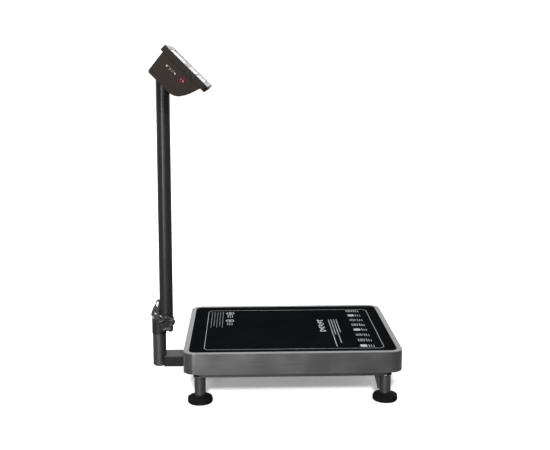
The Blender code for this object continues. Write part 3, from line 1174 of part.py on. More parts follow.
def printer_door(head, half):
    """The door over the roll, with the platen roller in its brackets, and its hinge pin."""
    hinge = Vector(door_axis())
    axis = empty("door_axis", hinge, head)
    door = box("printer_door", (*DOOR_SIZE, DOOR_THICKNESS), HEAD_FACE,
               (DOOR_SIZE[0] / 2 - DOOR_PIN_INSET, 0, -DOOR_THICKNESS / 2 - hinge.z), axis)
    bevel(door, DOOR_EDGE)
    platen = Vector((PLATEN_CENTRE[0] - hinge.x, 0, PLATEN_CENTRE[1] - hinge.z))
    arm_y = half - PLATEN_ARM_INSET
    root = -hinge.z - PLATEN_ARM_TOP
    knuckle_y = DOOR_SIZE[1] / 2 - DOOR_KNUCKLE_INSET
    for side in (-1, 1):
        points = [(platen.x - PLATEN_ARM_BACK, root)]
        points += arc((platen.x, platen.z), PLATEN_ARM_RADIUS, *PLATEN_ARM_ARC)
        points += [(platen.x + PLATEN_ARM_FRONT, root)]
        weld(door, outline(f"platen_arm_{side}", points, PLATEN_ARM_THICKNESS, None,
                           (0, side * arm_y, 0), axis, side=True))
        weld(door, rod(f"door_knuckle_{side}", DOOR_KNUCKLE, DOOR_KNUCKLE_WIDTH, None,
                       (0, side * knuckle_y, 0), "Y", axis, 20))
    slot_x = DOOR_SIZE[0] - DOOR_PIN_INSET - LABEL_SLOT_RISE
    cut(door, box("label_slot", (LABEL_SLOT_HEIGHT, ROLL_WIDTH + LABEL_SLOT_ROOM, 2 * OVERCUT), None,
                  (slot_x, 0, 0), axis))
    cut(door, rod("platen_bore", PLATEN_SHAFT + GAP, THROUGH, None, platen, "Y", axis, 20))
    cut(door, rod("pin_bore_door", DOOR_PIN_RADIUS + GAP, THROUGH, None, (0, 0, 0), "Y", axis, 16))
    rod("door_pin", DOOR_PIN_RADIUS, DOOR_SIZE[1] + 2 * DOOR_PIN_OVER, ZINC, hinge, "Y", head, 16)
    roller = empty("platen_axis", platen, axis)
    body = arm_y - PLATEN_ARM_THICKNESS / 2 - PLATEN_SIDE_GAP
    tip = arm_y + PLATEN_ARM_THICKNESS / 2 + PLATEN_SHAFT_PROUD
    profile = [(0, tip), (PLATEN_SHAFT, tip), (PLATEN_SHAFT, body), (PLATEN_RADIUS, body),
               (PLATEN_RADIUS, -body), (PLATEN_SHAFT, -body), (PLATEN_SHAFT, -tip), (0, -tip)]
    turned("platen_roller", profile, RUBBER, axis="Y", parent=roller, steps=24)


# ---------------------------------------------------------------- console: swivel bracket
def swivel_bracket(head, swivel):
    """Plate on the spigot's stud, with cheeks and feet against the back wall."""
    low = BRACKET_BOTTOM - COLUMN_TOP
    reach = TUBE_RADIUS + BRACKET_ROOM
    back, front = BRACKET_SPAN
    plate = block("swivel_bracket", (back, -reach, low), (front, reach, low + BRACKET_PLATE),
                  ZINC, swivel)
    wall = -HOUSING_DEPTH + HOUSING_WALL + GAP
    web = [(x, wall + z) for x, z in BRACKET_WEB]
    start, end = BRACKET_FOOT
    for side in (-1, 1):
        y = side * (reach - BRACKET_CHEEK / 2)
        far = y + side * BRACKET_FOOT_WIDTH
        weld(plate, outline(f"bracket_web_{side}", web, BRACKET_CHEEK, None, (0, y, 0), head,
                            side=True))
        weld(plate, block(f"bracket_foot_{side}", (start, min(y, far), wall),
                          (end, max(y, far), wall + BRACKET_FOOT_THICKNESS), None, head))
    cut(plate, rod("stud_bore", SPIGOT_STUD + GAP, 2 * OVERCUT, None, (0, 0, low), parent=swivel,
                   sides=28))


# ---------------------------------------------------------------- assembly
def main():
    """Build the scale."""
    platform_cover()
    platform_panel()
    base_frame()
    load_cell()
    top_frame()
    levelling_feet()
    column_arm()
    lower_post()
    hinge_base()
    lever_pin()
    notch_height = lock_lever()
    lever_spring()
    pivot_hardware()
    fold = empty("fold_axis", PIVOT)
    hinge_knuckle(fold)
    upper_column(fold, notch_height)
    head_spigot(fold)
    swivel = empty("swivel_axis", Vector((COLUMN_X, 0, COLUMN_TOP)) - PIVOT, fold)
    head = empty("console_frame", HEAD_ORIGIN - Vector((COLUMN_X, 0, COLUMN_TOP)), swivel,
                 (0, HEAD_TILT, 0))
    rear_housing(head, swivel)
    front_bezel(head)
    display(head)
    keys(head)
    electronics(head)
    side_fittings(head)
    printer(head)
    swivel_bracket(head, swivel)


main()
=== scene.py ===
"""The finished look of a label printing scale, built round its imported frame.

Metres, +Z up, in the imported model's own frame: the column stands at -X, the platform lies towards
+X, and the console's data ports face -Y.
"""

import json
import logging
import math
import random
from dataclasses import dataclass, field
from enum import Enum
from typing import Iterable, Optional, Sequence

import bmesh
import bpy
from mathutils import Matrix, Vector


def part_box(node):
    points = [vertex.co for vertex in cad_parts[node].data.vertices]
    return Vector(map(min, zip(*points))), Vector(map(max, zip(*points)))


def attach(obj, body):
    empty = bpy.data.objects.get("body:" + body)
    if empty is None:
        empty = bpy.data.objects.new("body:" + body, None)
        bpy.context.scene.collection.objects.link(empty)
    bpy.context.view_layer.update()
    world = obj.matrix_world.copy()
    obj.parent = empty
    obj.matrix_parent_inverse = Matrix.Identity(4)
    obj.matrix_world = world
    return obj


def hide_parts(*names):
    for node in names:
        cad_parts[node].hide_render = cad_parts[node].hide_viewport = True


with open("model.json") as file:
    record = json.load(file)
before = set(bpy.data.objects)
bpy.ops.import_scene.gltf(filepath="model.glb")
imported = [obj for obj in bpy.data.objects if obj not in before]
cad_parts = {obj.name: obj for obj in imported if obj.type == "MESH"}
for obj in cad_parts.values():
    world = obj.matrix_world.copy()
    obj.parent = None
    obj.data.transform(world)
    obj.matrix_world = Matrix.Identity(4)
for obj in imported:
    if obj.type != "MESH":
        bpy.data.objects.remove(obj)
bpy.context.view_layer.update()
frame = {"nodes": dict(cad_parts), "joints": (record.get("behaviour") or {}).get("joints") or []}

LOG = logging.getLogger("label_printing_scale")

Colour = tuple[float, float, float]
Point2 = tuple[float, float]
Point3 = tuple[float, float, float]

FULL_TURN = 2 * math.pi
ARC_STEPS = 7


# ------------------------------------------------------------------------------- shader nodes
class Shading:
    """Adds nodes to one node tree and links them."""

    def __init__(self, tree: bpy.types.NodeTree) -> None:
        """Keep the tree.

        Args:
            tree: The material's or group's node tree.
        """
        self.tree = tree

    def node(self, kind: str, **settings: object) -> bpy.types.Node:
        """Add a node.

        Args:
            kind: The node's type name.
            **settings: Properties of the node.

        Returns:
            The new node.
        """
        item = self.tree.nodes.new(kind)
        for key, value in settings.items():
            setattr(item, key, value)
        return item

    def feed(self, source: object, target: bpy.types.NodeSocket) -> None:
        """Link a socket to a socket, or set a plain value on it.

        Args:
            source: An output socket, a number, a colour or a vector.
            target: The input socket.
        """
        if isinstance(source, bpy.types.NodeSocket):
            self.tree.links.new(source, target)
        elif isinstance(source, tuple) and target.type == "RGBA":
            target.default_value = (*source, 1.0)
        else:
            target.default_value = source

    def maths(self, operation: str, first: object, second: object = 0.0,
              clamp: bool = False) -> bpy.types.NodeSocket:
        """Add a Math node.

        Args:
            operation: The Math node's operation.
            first: First value or socket.
            second: Second value or socket.
            clamp: Whether the result is kept from 0 to 1.

        Returns:
            The result's socket.
        """
        item = self.node("ShaderNodeMath", operation=operation, use_clamp=clamp)
        self.feed(first, item.inputs[0])
        self.feed(second, item.inputs[1])
        return item.outputs[0]

    def span(self, value: object, low: object, high: object, to_low: float = 0.0,
             to_high: float = 1.0) -> bpy.types.NodeSocket:
        """Map a value from one range to another, smoothly and within it.

        Args:
            value: The value's socket.
            low: Value that gives to_low.
            high: Value that gives to_high.
            to_low: Result at the low end.
            to_high: Result at the high end.

        Returns:
            The result's socket.
        """
        item = self.node("ShaderNodeMapRange", interpolation_type="SMOOTHSTEP")
        for name, source in (("Value", value), ("From Min", low), ("From Max", high),
                             ("To Min", to_low), ("To Max", to_high)):
            self.feed(source, item.inputs[name])
        return item.outputs["Result"]

    def blend(self, factor: object, first: object, second: object) -> bpy.types.NodeSocket:
        """Mix two colours.

        Args:
            factor: Share of the second colour.
            first: First colour or socket.
            second: Second colour or socket.

        Returns:
            The mixed colour's socket.
        """
        item = self.node("ShaderNodeMix", data_type="RGBA")
        self.feed(factor, item.inputs["Factor"])
        self.feed(first, item.inputs[6])
        self.feed(second, item.inputs[7])
        return item.outputs[2]


class EffectGroup:
    """A shader node group with named inputs and outputs, built once."""

    def __init__(self, name: str, inputs: Sequence[tuple[str, str, object]],
                 outputs: Sequence[str]) -> None:
        """Make the empty group.

        Args:
            name: The group's name.
            inputs: Name, socket type and default of each input.
            outputs: Names of the outputs, all plain values.
        """
        self.tree = bpy.data.node_groups.new(name, "ShaderNodeTree")
        for label, kind, default in inputs:
            socket = self.tree.interface.new_socket(label, in_out="INPUT", socket_type=kind)
            socket.default_value = default
        for label in outputs:
            self.tree.interface.new_socket(label, in_out="OUTPUT", socket_type="NodeSocketFloat")
        self.shading = Shading(self.tree)
        self.given = self.shading.node("NodeGroupInput").outputs
        self.result = self.shading.node("NodeGroupOutput").inputs

    def use(self, shading: Shading, **values: object) -> bpy.types.NodeOutputs:
        """Place the group in a material.

        Args:
            shading: The material's node builder.
            **values: Value of each input, with underscores for spaces in its name.

        Returns:
            The placed group's outputs.
        """
        item = shading.node("ShaderNodeGroup", node_tree=self.tree)
        for key, value in values.items():
            shading.feed(value, item.inputs[key.replace("_", " ")])
        return item.outputs


def build_grain() -> EffectGroup:
    """Build the fine surface grain: a stretched noise as a value and as a height."""
    group = EffectGroup("surface_grain", (
        ("Stretch", "NodeSocketVector", (1.0, 1.0, 1.0)), ("Tilt", "NodeSocketVector", (0, 0, 0)),
        ("Detail", "NodeSocketFloat", 3.0)), ("Value", "Height"))
    tools = group.shading
    where = tools.node("ShaderNodeTexCoord")
    turned = tools.node("ShaderNodeMapping")
    tools.feed(where.outputs["Object"], turned.inputs["Vector"])
    tools.feed(group.given["Tilt"], turned.inputs["Rotation"])
    product = tools.node("ShaderNodeVectorMath", operation="MULTIPLY")
    tools.feed(turned.outputs["Vector"], product.inputs[0])
    tools.feed(group.given["Stretch"], product.inputs[1])
    noise = tools.node("ShaderNodeTexNoise")
    noise.inputs["Scale"].default_value = 1.0
    noise.inputs["Roughness"].default_value = 0.6
    tools.feed(product.outputs["Vector"], noise.inputs["Vector"])
    tools.feed(group.given["Detail"], noise.inputs["Detail"])
    tools.feed(tools.span(noise.outputs["Fac"], 0.3, 0.7), group.result["Value"])
    tools.feed(tools.maths("SUBTRACT", noise.outputs["Fac"], 0.5), group.result["Height"])
    return group


def build_hammer() -> EffectGroup:
    """Build the dimples of a hammered or textured coat."""
    group = EffectGroup("hammered_coat", (("Density", "NodeSocketFloat", 600.0),),
                        ("Value", "Height"))
    tools = group.shading
    where = tools.node("ShaderNodeTexCoord")
    cells = tools.node("ShaderNodeTexVoronoi", feature="SMOOTH_F1")
    cells.inputs["Smoothness"].default_value = 0.7
    tools.feed(where.outputs["Object"], cells.inputs["Vector"])
    tools.feed(group.given["Density"], cells.inputs["Scale"])
    tools.feed(tools.span(cells.outputs["Distance"], 0.1, 0.7), group.result["Value"])
    tools.feed(cells.outputs["Distance"], group.result["Height"])
    return group


def build_wear_and_sheen() -> EffectGroup:
    """Build the mask of rubbed edges, broken up by noise; with a light edge colour it also paints a
    highlight along the edges.
    """
    group = EffectGroup("edge_wear_and_sheen", (
        ("Width", "NodeSocketFloat", 0.0008), ("Amount", "NodeSocketFloat", 0.5)), ("Mask",))
    tools = group.shading
    rounded = tools.node("ShaderNodeBevel", samples=4)
    tools.feed(group.given["Width"], rounded.inputs["Radius"])
    flat = tools.node("ShaderNodeNewGeometry")
    dot = tools.node("ShaderNodeVectorMath", operation="DOT_PRODUCT")
    tools.feed(rounded.outputs["Normal"], dot.inputs[0])
    tools.feed(flat.outputs["Normal"], dot.inputs[1])
    edge = tools.span(tools.maths("SUBTRACT", 1.0, dot.outputs["Value"]), 0.02, 0.25)
    where = tools.node("ShaderNodeTexCoord")
    noise = tools.node("ShaderNodeTexNoise")
    noise.inputs["Scale"].default_value = 130.0
    noise.inputs["Detail"].default_value = 4.0
    tools.feed(where.outputs["Object"], noise.inputs["Vector"])
    patch = tools.span(noise.outputs["Fac"], 0.38, 0.62)
    tools.feed(tools.maths("MULTIPLY", tools.maths("MULTIPLY", edge, patch),
                           group.given["Amount"], clamp=True), group.result["Mask"])
    return group


def build_dust() -> EffectGroup:
    """Build the mask of faint dust on faces that look up."""
    group = EffectGroup("settled_dust", (("Amount", "NodeSocketFloat", 0.1),), ("Mask",))
    tools = group.shading
    flat = tools.node("ShaderNodeNewGeometry")
    parts = tools.node("ShaderNodeSeparateXYZ")
    tools.feed(flat.outputs["Normal"], parts.inputs["Vector"])
    up = tools.span(parts.outputs["Z"], 0.2, 0.95)
    where = tools.node("ShaderNodeTexCoord")
    noise = tools.node("ShaderNodeTexNoise")
    noise.inputs["Scale"].default_value = 22.0
    noise.inputs["Detail"].default_value = 6.0
    tools.feed(where.outputs["Object"], noise.inputs["Vector"])
    cloud = tools.span(noise.outputs["Fac"], 0.35, 0.75)
    tools.feed(tools.maths("MULTIPLY", tools.maths("MULTIPLY", up, cloud),
                           group.given["Amount"], clamp=True), group.result["Mask"])
    return group


def build_mottle() -> EffectGroup:
    """Build the broad, soft variation of a surface."""
    group = EffectGroup("soft_mottle", (("Scale", "NodeSocketFloat", 14.0),), ("Value",))
    tools = group.shading
    where = tools.node("ShaderNodeTexCoord")
    noise = tools.node("ShaderNodeTexNoise")
    noise.inputs["Detail"].default_value = 2.0
    tools.feed(where.outputs["Object"], noise.inputs["Vector"])
    tools.feed(group.given["Scale"], noise.inputs["Scale"])
    tools.feed(tools.span(noise.outputs["Fac"], 0.3, 0.7), group.result["Value"])
    return group


GRAIN = build_grain()
HAMMER = build_hammer()
WEAR_AND_SHEEN = build_wear_and_sheen()
DUST = build_dust()
MOTTLE = build_mottle()


# ------------------------------------------------------------------------------- finishes
class Texture(Enum):
    """How a finish's surface is textured."""

    GRAINED = "fine isotropic grain"
    BRUSHED = "fine lines along one axis"
    HAMMERED = "dimpled coat"


class Surface:
    """What every finish shares: its material is made once."""

    name: str

    def material(self) -> bpy.types.Material:
        """Give the finish's material, made on first use."""
        made = bpy.data.materials.get(self.name)
        return made if made else self.build()


@dataclass(frozen=True)
class Finish(Surface):
    """An opaque finish: paint, plastic, rubber, metal or paper."""

    name: str
    slot: str
    colour: Colour
    roughness: float
    metallic: float = 0.0
    coat: float = 0.0
    coat_roughness: float = 0.1
    specular: float = 0.5
    texture: Texture = Texture.GRAINED
    density: float = 900.0
    brushing: Point3 = (1.0, 1.0, 1.0)
    tilt: Point3 = (0.0, 0.0, 0.0)
    height: float = 0.00002
    roughness_swing: float = 0.10
    tone_swing: float = 0.12
    wear_and_sheen_colour: Colour = (0.30, 0.30, 0.31)
    wear_and_sheen_amount: float = 0.0
    wear_and_sheen_width: float = 0.0008
    dust: float = 0.03

    def build(self) -> bpy.types.Material:
        """Build the node tree from the shared effect groups."""
        material = bpy.data.materials.new(self.name)
        material.use_nodes = True
        tools = Shading(material.node_tree)
        shader = material.node_tree.nodes["Principled BSDF"]
        shader.inputs["Metallic"].default_value = self.metallic
        shader.inputs["Coat Weight"].default_value = self.coat
        shader.inputs["Coat Roughness"].default_value = self.coat_roughness
        shader.inputs["Specular IOR Level"].default_value = self.specular
        if self.texture is Texture.HAMMERED:
            fine = HAMMER.use(tools, Density=self.density)
        else:
            stretch = tuple(self.density * b for b in self.brushing)
            fine = GRAIN.use(tools, Stretch=stretch, Tilt=self.tilt)
        broad = MOTTLE.use(tools)["Value"]
        darker = tuple(c * (1 - self.tone_swing) for c in self.colour)
        lighter = tuple(min(1.0, c * (1 + self.tone_swing)) for c in self.colour)
        tone = tools.blend(broad, darker, lighter)
        tone = tools.blend(tools.maths("MULTIPLY", fine["Value"], self.tone_swing), tone,
                           tuple(min(1.0, c * 1.5 + 0.01) for c in self.colour))
        # Edges take the edge colour: real wear, and where that colour is light, as on the cover,
        # partly a painted highlight along the edges.
        if self.wear_and_sheen_amount > 0:
            worn_and_sheen_edges = WEAR_AND_SHEEN.use(tools, Width=self.wear_and_sheen_width, Amount=self.wear_and_sheen_amount)["Mask"]
            tone = tools.blend(worn_and_sheen_edges, tone, self.wear_and_sheen_colour)
        settled = DUST.use(tools, Amount=self.dust)["Mask"]
        tools.feed(tools.blend(settled, tone, (0.45, 0.44, 0.42)), shader.inputs["Base Color"])
        low = self.roughness - self.roughness_swing / 2
        high = self.roughness + self.roughness_swing / 2
        rough = tools.span(tools.maths("ADD", tools.maths("MULTIPLY", fine["Value"], 0.6),
                                       tools.maths("MULTIPLY", broad, 0.4)), 0.0, 1.0, low, high)
        rough = tools.maths("ADD", rough, tools.maths("MULTIPLY", settled, 0.4), clamp=True)
        tools.feed(rough, shader.inputs["Roughness"])
        bump = tools.node("ShaderNodeBump")
        bump.inputs["Strength"].default_value = 1.0
        bump.inputs["Distance"].default_value = self.height
        tools.feed(fine["Height"], bump.inputs["Height"])
        tools.feed(bump.outputs["Normal"], shader.inputs["Normal"])
        return material


@dataclass(frozen=True)
class ClearFinish(Surface):
    """A clear window, faintly tinted and finely scuffed."""

    name: str
    slot: str
    colour: Colour
    roughness: float = 0.05

    def build(self) -> bpy.types.Material:
        """Build the clear material."""
        material = bpy.data.materials.new(self.name)
        material.use_nodes = True
        tools = Shading(material.node_tree)
        shader = material.node_tree.nodes["Principled BSDF"]
        shader.inputs["Base Color"].default_value = (*self.colour, 1.0)
        shader.inputs["Transmission Weight"].default_value = 1.0
        shader.inputs["IOR"].default_value = 1.2
        broad = MOTTLE.use(tools, Scale=30.0)["Value"]
        tools.feed(tools.span(broad, 0.0, 1.0, self.roughness * 0.5, self.roughness * 1.5),
                   shader.inputs["Roughness"])
        return material


@dataclass(frozen=True)
class LitFinish(Surface):
    """A softly lit display, its tone varied broadly and softly."""

    name: str
    slot: str
    colour: Colour
    glow: float

    def build(self) -> bpy.types.Material:
        """Build the lit material."""
        material = bpy.data.materials.new(self.name)
        material.use_nodes = True
        tools = Shading(material.node_tree)
        shader = material.node_tree.nodes["Principled BSDF"]
        broad = MOTTLE.use(tools, Scale=20.0)["Value"]
        fine = GRAIN.use(tools, Stretch=(2500.0, 2500.0, 2500.0))
        deep = tuple(c * 0.85 for c in self.colour)
        tone = tools.blend(broad, deep, self.colour)
        tools.feed(tone, shader.inputs["Base Color"])
        tools.feed(tone, shader.inputs["Emission Color"])
        tools.feed(tools.span(fine["Value"], 0.0, 1.0, 0.35, 0.5), shader.inputs["Roughness"])
        shader.inputs["Emission Strength"].default_value = self.glow
        return material


COLUMN_COAT = Finish("column_coat", "grey_coat", (0.009, 0.009, 0.010), 0.33, specular=0.22,
                     texture=Texture.HAMMERED, density=900.0, height=0.00003, wear_and_sheen_amount=0.25,
                     wear_and_sheen_colour=(0.09, 0.09, 0.09), tone_swing=0.08)
FRAME_COAT = Finish("frame_paint", "dark_coat", (0.010, 0.010, 0.011), 0.36, specular=0.85,
                    density=700.0, height=0.00002, wear_and_sheen_amount=0.35,
                    wear_and_sheen_colour=(0.09, 0.09, 0.09))
ARM_COAT = Finish("arm_paint", "dark_coat", (0.008, 0.008, 0.009), 0.40, specular=0.10,
                  density=700.0, height=0.00002, dust=0.015)
# The cover's light edge colour is partly rubbed steel and partly a painted highlight along the
# rim's rounded edges.
COVER_STEEL = Finish("cover_steel_satin", "cover_steel", (0.135, 0.135, 0.138), 0.33, metallic=1.0,
                     texture=Texture.BRUSHED, density=1.0, brushing=(12.0, 900.0, 900.0),
                     height=0.000004, roughness_swing=0.10, tone_swing=0.06, wear_and_sheen_amount=0.35,
                     wear_and_sheen_colour=(0.62, 0.62, 0.63), wear_and_sheen_width=0.0012, dust=0.02)
PANEL_FILM = Finish("panel_film", "panel_black", (0.0022, 0.0026, 0.0030), 0.5, specular=0.0,
                    density=1500.0, height=0.000003, tone_swing=0.10, dust=0.001)
PANEL_INK = Finish("panel_ink", "panel_black", (0.22, 0.23, 0.24), 0.6, density=1500.0,
                   height=0.000002, dust=0.0, tone_swing=0.2)
PANEL_FINE_INK = Finish("panel_fine_ink", "panel_black", (0.10, 0.105, 0.11), 0.6,
                        density=1500.0, height=0.000002, dust=0.0, tone_swing=0.2)
CAST_BLACK = Finish("cast_black", "black_cast", (0.006, 0.006, 0.007), 0.36, specular=0.30,
                    dust=0.010, texture=Texture.HAMMERED, density=700.0, height=0.00006, wear_and_sheen_amount=0.5,
                    wear_and_sheen_colour=(0.06, 0.06, 0.065), wear_and_sheen_width=0.0006)
KNOB_BLACK = Finish("knob_black", "black_plastic", (0.004, 0.004, 0.0045), 0.38, specular=0.25,
                    dust=0.008, density=1200.0,
                    height=0.00003, wear_and_sheen_amount=0.2, wear_and_sheen_colour=(0.05, 0.05, 0.05))
PLASTIC_BLACK = Finish("plastic_black", "black_plastic", (0.004, 0.004, 0.004), 0.5,
                       specular=0.15, density=1400.0, height=0.00003, dust=0.004)
RUBBER = Finish("foot_rubber", "rubber", (0.0028, 0.0028, 0.0028), 0.7, specular=0.03,
                density=1100.0, height=0.00005, roughness_swing=0.2, tone_swing=0.25, dust=0.004)
ZINC = Finish("zinc_plate", "zinc", (0.34, 0.345, 0.35), 0.32, metallic=1.0, density=500.0,
              height=0.000006, roughness_swing=0.15, tone_swing=0.10, wear_and_sheen_amount=0.0)
DULL_STEEL = Finish("dull_steel", "zinc", (0.10, 0.10, 0.10), 0.4, metallic=1.0, density=500.0,
                    height=0.000006)
SPRING_STEEL = Finish("spring_steel", "zinc", (0.40, 0.40, 0.41), 0.30, metallic=1.0,
                      density=800.0, height=0.000004)
MACHINED = Finish("machined_aluminium", "aluminium", (0.66, 0.67, 0.68), 0.34, metallic=1.0,
                  texture=Texture.BRUSHED, density=1.0, brushing=(1500.0, 30.0, 1500.0),
                  height=0.000004, wear_and_sheen_amount=0.2, wear_and_sheen_colour=(0.8, 0.8, 0.8))
CONSOLE_SHELL = Finish("console_shell", "console_grey", (0.0130, 0.0090, 0.0070), 0.50,
                       specular=0.05, density=1300.0, height=0.000012, wear_and_sheen_amount=0.12,
                       wear_and_sheen_colour=(0.08, 0.07, 0.06), dust=0.01)
FACE_FILM = Finish("face_film", "console_face", (0.40, 0.40, 0.405), 0.55,
                   specular=0.05, density=1800.0,
                   height=0.000006, tone_swing=0.04, dust=0.02)
FACE_TRIM = Finish("face_trim", "console_face", (0.26, 0.27, 0.29), 0.45, density=1800.0,
                   height=0.000006, dust=0.01)
KEY_CAP = Finish("key_cap", "key_grey", (0.70, 0.70, 0.69), 0.48, density=1600.0, height=0.00001,
                 tone_swing=0.04, wear_and_sheen_amount=0.15, wear_and_sheen_colour=(0.5, 0.5, 0.49))
KEY_INK = Finish("key_ink", "key_grey", (0.02, 0.02, 0.025), 0.5, density=1500.0, height=0.000002,
                 dust=0.0)
SWITCH_RED = Finish("switch_red_gloss", "switch_red", (0.075, 0.006, 0.009), 0.50,
                    specular=0.02, density=900.0, height=0.000004, dust=0.0)
SWITCH_INK = Finish("switch_ink", "switch_red", (0.30, 0.25, 0.25), 0.5, dust=0.0)
BOARD_GREEN = Finish("board_green_mask", "board_green", (0.02, 0.14, 0.05), 0.38, density=500.0,
                     height=0.00002)
# This gold is darkened far below real gold: painted shade, so the contacts deep inside the ports
# read dark.
GOLD_CONTACT = Finish("gold_contact", "zinc", (0.16, 0.11, 0.045), 0.3, metallic=1.0)
LABEL_PAPER = Finish("label_paper_stock", "paper", (0.82, 0.82, 0.80), 0.75,
                     texture=Texture.BRUSHED, density=1.0, brushing=(60.0, 9000.0, 60.0),
                     height=0.00002, tone_swing=0.05)
SEAL = Finish("cell_seal", "rubber", (0.55, 0.54, 0.50), 0.55, density=500.0, height=0.00008)
WINDOW_CLEAR = ClearFinish("window_clear", "display_glass", (0.86, 0.90, 0.90))
SCREEN = LitFinish("screen_back", "display_glass", (0.30, 0.42, 0.30), 0.35)
SCREEN_INK = Finish("screen_segments", "display_glass", (0.010, 0.016, 0.012), 0.4, dust=0.0)


# ------------------------------------------------------------------------------- meshes
class Builder:
    """Collects closed solids in one mesh, in the frame of a matrix."""

    def __init__(self, name: str, matrix: Optional[Matrix] = None) -> None:
        """Start an empty piece.

        Args:
            name: The piece's name.
            matrix: The frame its solids are given in; the row frame if left out.
        """
        self.name = name
        self.bm = bmesh.new()
        self.matrix = matrix if matrix is not None else Matrix.Identity(4)

    def solid(self, rings: Sequence[Sequence[Point3]], smooth: bool = False,
              closed: bool = False) -> None:
        """Add a solid through rings of points, one after the other.

        Args:
            rings: Rings with the same number of points each.
            smooth: Whether its sides are shaded smooth.
            closed: Whether the last ring joins the first, in place of two end caps.
        """
        made = [[self.bm.verts.new(self.matrix @ Vector(p)) for p in ring] for ring in rings]
        count = len(made[0])
        pairs = list(zip(made, made[1:])) + ([(made[-1], made[0])] if closed else [])
        faces = [self.bm.faces.new((a[i], a[(i + 1) % count], b[(i + 1) % count], b[i]))
                 for a, b in pairs for i in range(count)]
        for face in faces:
            face.smooth = smooth
        if not closed:
            faces += [self.bm.faces.new(list(reversed(made[0]))), self.bm.faces.new(made[-1])]
        bmesh.ops.recalc_face_normals(self.bm, faces=faces)

    def prism(self, points: Sequence[Point2], low: float, high: float,
              smooth: bool = False) -> None:
        """Add an upright prism.

        Args:
            points: Its outline in X and Y.
            low: Its underside.
            high: Its top.
            smooth: Whether its sides are shaded smooth.
        """
        self.solid([[(x, y, z) for x, y in points] for z in (low, high)], smooth)

    def block(self, low: Point3, high: Point3) -> None:
        """Add a box between two corners."""
        (x0, y0, z0), (x1, y1, z1) = low, high
        self.prism([(x0, y0), (x1, y0), (x1, y1), (x0, y1)], z0, z1)

    def ring(self, outer: Sequence[Point2], inner: Sequence[Point2], low: float,
             high: float) -> None:
        """Add a flat ring between two outlines with the same number of points."""
        self.solid([[(x, y, high) for x, y in outer], [(x, y, low) for x, y in outer],
                    [(x, y, low) for x, y in inner], [(x, y, high) for x, y in inner]],
                   closed=True)

    def lathe(self, profile: Sequence[Point2], steps: int = 40, smooth: bool = True,
              ribs: int = 0, rib_depth: float = 0.0, rib_span: Point2 = (0.0, 0.0)) -> None:
        """Add a solid turned about Z, with ribs cut into part of it.

        Args:
            profile: Radius and height from one end to the other.
            steps: Points round it.
            smooth: Whether it is shaded smooth.
            ribs: Number of ribs round it.
            rib_depth: Depth of the grooves between them.
            rib_span: Heights between which the grooves are cut.
        """
        rings = []
        for radius, height in profile:
            ring = []
            for i in range(steps):
                angle = FULL_TURN * i / steps
                groove = ribs and rib_span[0] <= height <= rib_span[1]
                cut = rib_depth * (0.5 - 0.5 * math.cos(ribs * angle)) if groove else 0.0
                ring.append(((radius - cut) * math.cos(angle), (radius - cut) * math.sin(angle),
                             height))
            rings.append(ring)
        self.solid(rings, smooth)

    def finish(self, finish: Surface, body: str,
               replaces: Iterable[str] = (), sharp: float = 35.0) -> bpy.types.Object:
        """Make the object, dress it and put it on its body.

        Args:
            finish: Its finish.
            body: The CAD body it rides on.
            replaces: CAD nodes it stands for.
            sharp: Angle in degrees over which an edge stays sharp.

        Returns:
            The finished piece.
        """
        mesh = bpy.data.meshes.new(self.name)
        self.bm.to_mesh(mesh)
        self.bm.free()
        mesh.set_sharp_from_angle(angle=math.radians(sharp))
        piece = bpy.data.objects.new(self.name, mesh)
        bpy.context.scene.collection.objects.link(piece)
        mesh.materials.append(finish.material())
        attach(piece, body)
        if replaces:
            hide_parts(*replaces)
        LOG.info("%s rides on %s", self.name, body)
        return piece


def arc(centre: Point2, radius: float, start: float, end: float, count: int) -> list[Point2]:
    """Give points on an arc, with its angles in degrees."""
    angles = [math.radians(start + (end - start) * i / (count - 1)) for i in range(count)]
    return [(centre[0] + radius * math.cos(a), centre[1] + radius * math.sin(a)) for a in angles]


def rounded(low: Point2, high: Point2, radius: float, count: int = ARC_STEPS) -> list[Point2]:
    """Give the outline of a rectangle with round corners."""
    (x0, y0), (x1, y1) = low, high
    corners = ((x1 - radius, y1 - radius, 0), (x0 + radius, y1 - radius, 90),
               (x0 + radius, y0 + radius, 180), (x1 - radius, y0 + radius, 270))
    return [p for cx, cy, a in corners for p in arc((cx, cy), radius, a, a + 90, count)]


def circle(centre: Point2, radius: float, count: int = 20) -> list[Point2]:
    """Give the outline of a circle."""
    return arc(centre, radius, 0, 360 * (count - 1) / count, count)


def dress(nodes: Iterable[str], finish: Surface,
          soften: float = 0.0) -> None:
    """Give CAD nodes a finish.

    Args:
        nodes: The nodes' names.
        finish: Their finish.
        soften: Width of a fine rounding on their edges, none if 0.
    """
    for name in nodes:
        item = frame["nodes"][name]
        material = finish.material()
        if item.material_slots:
            for place in item.material_slots:
                place.material = material
        else:
            item.data.materials.append(material)
        if soften > 0:
            edge = item.modifiers.new("edge_rounding", "BEVEL")
            edge.width = soften
            edge.segments = 2
            edge.limit_method = "ANGLE"
            edge.angle_limit = math.radians(50)
            edge.use_clamp_overlap = True
        LOG.info("%s wears %s", name, finish.name)


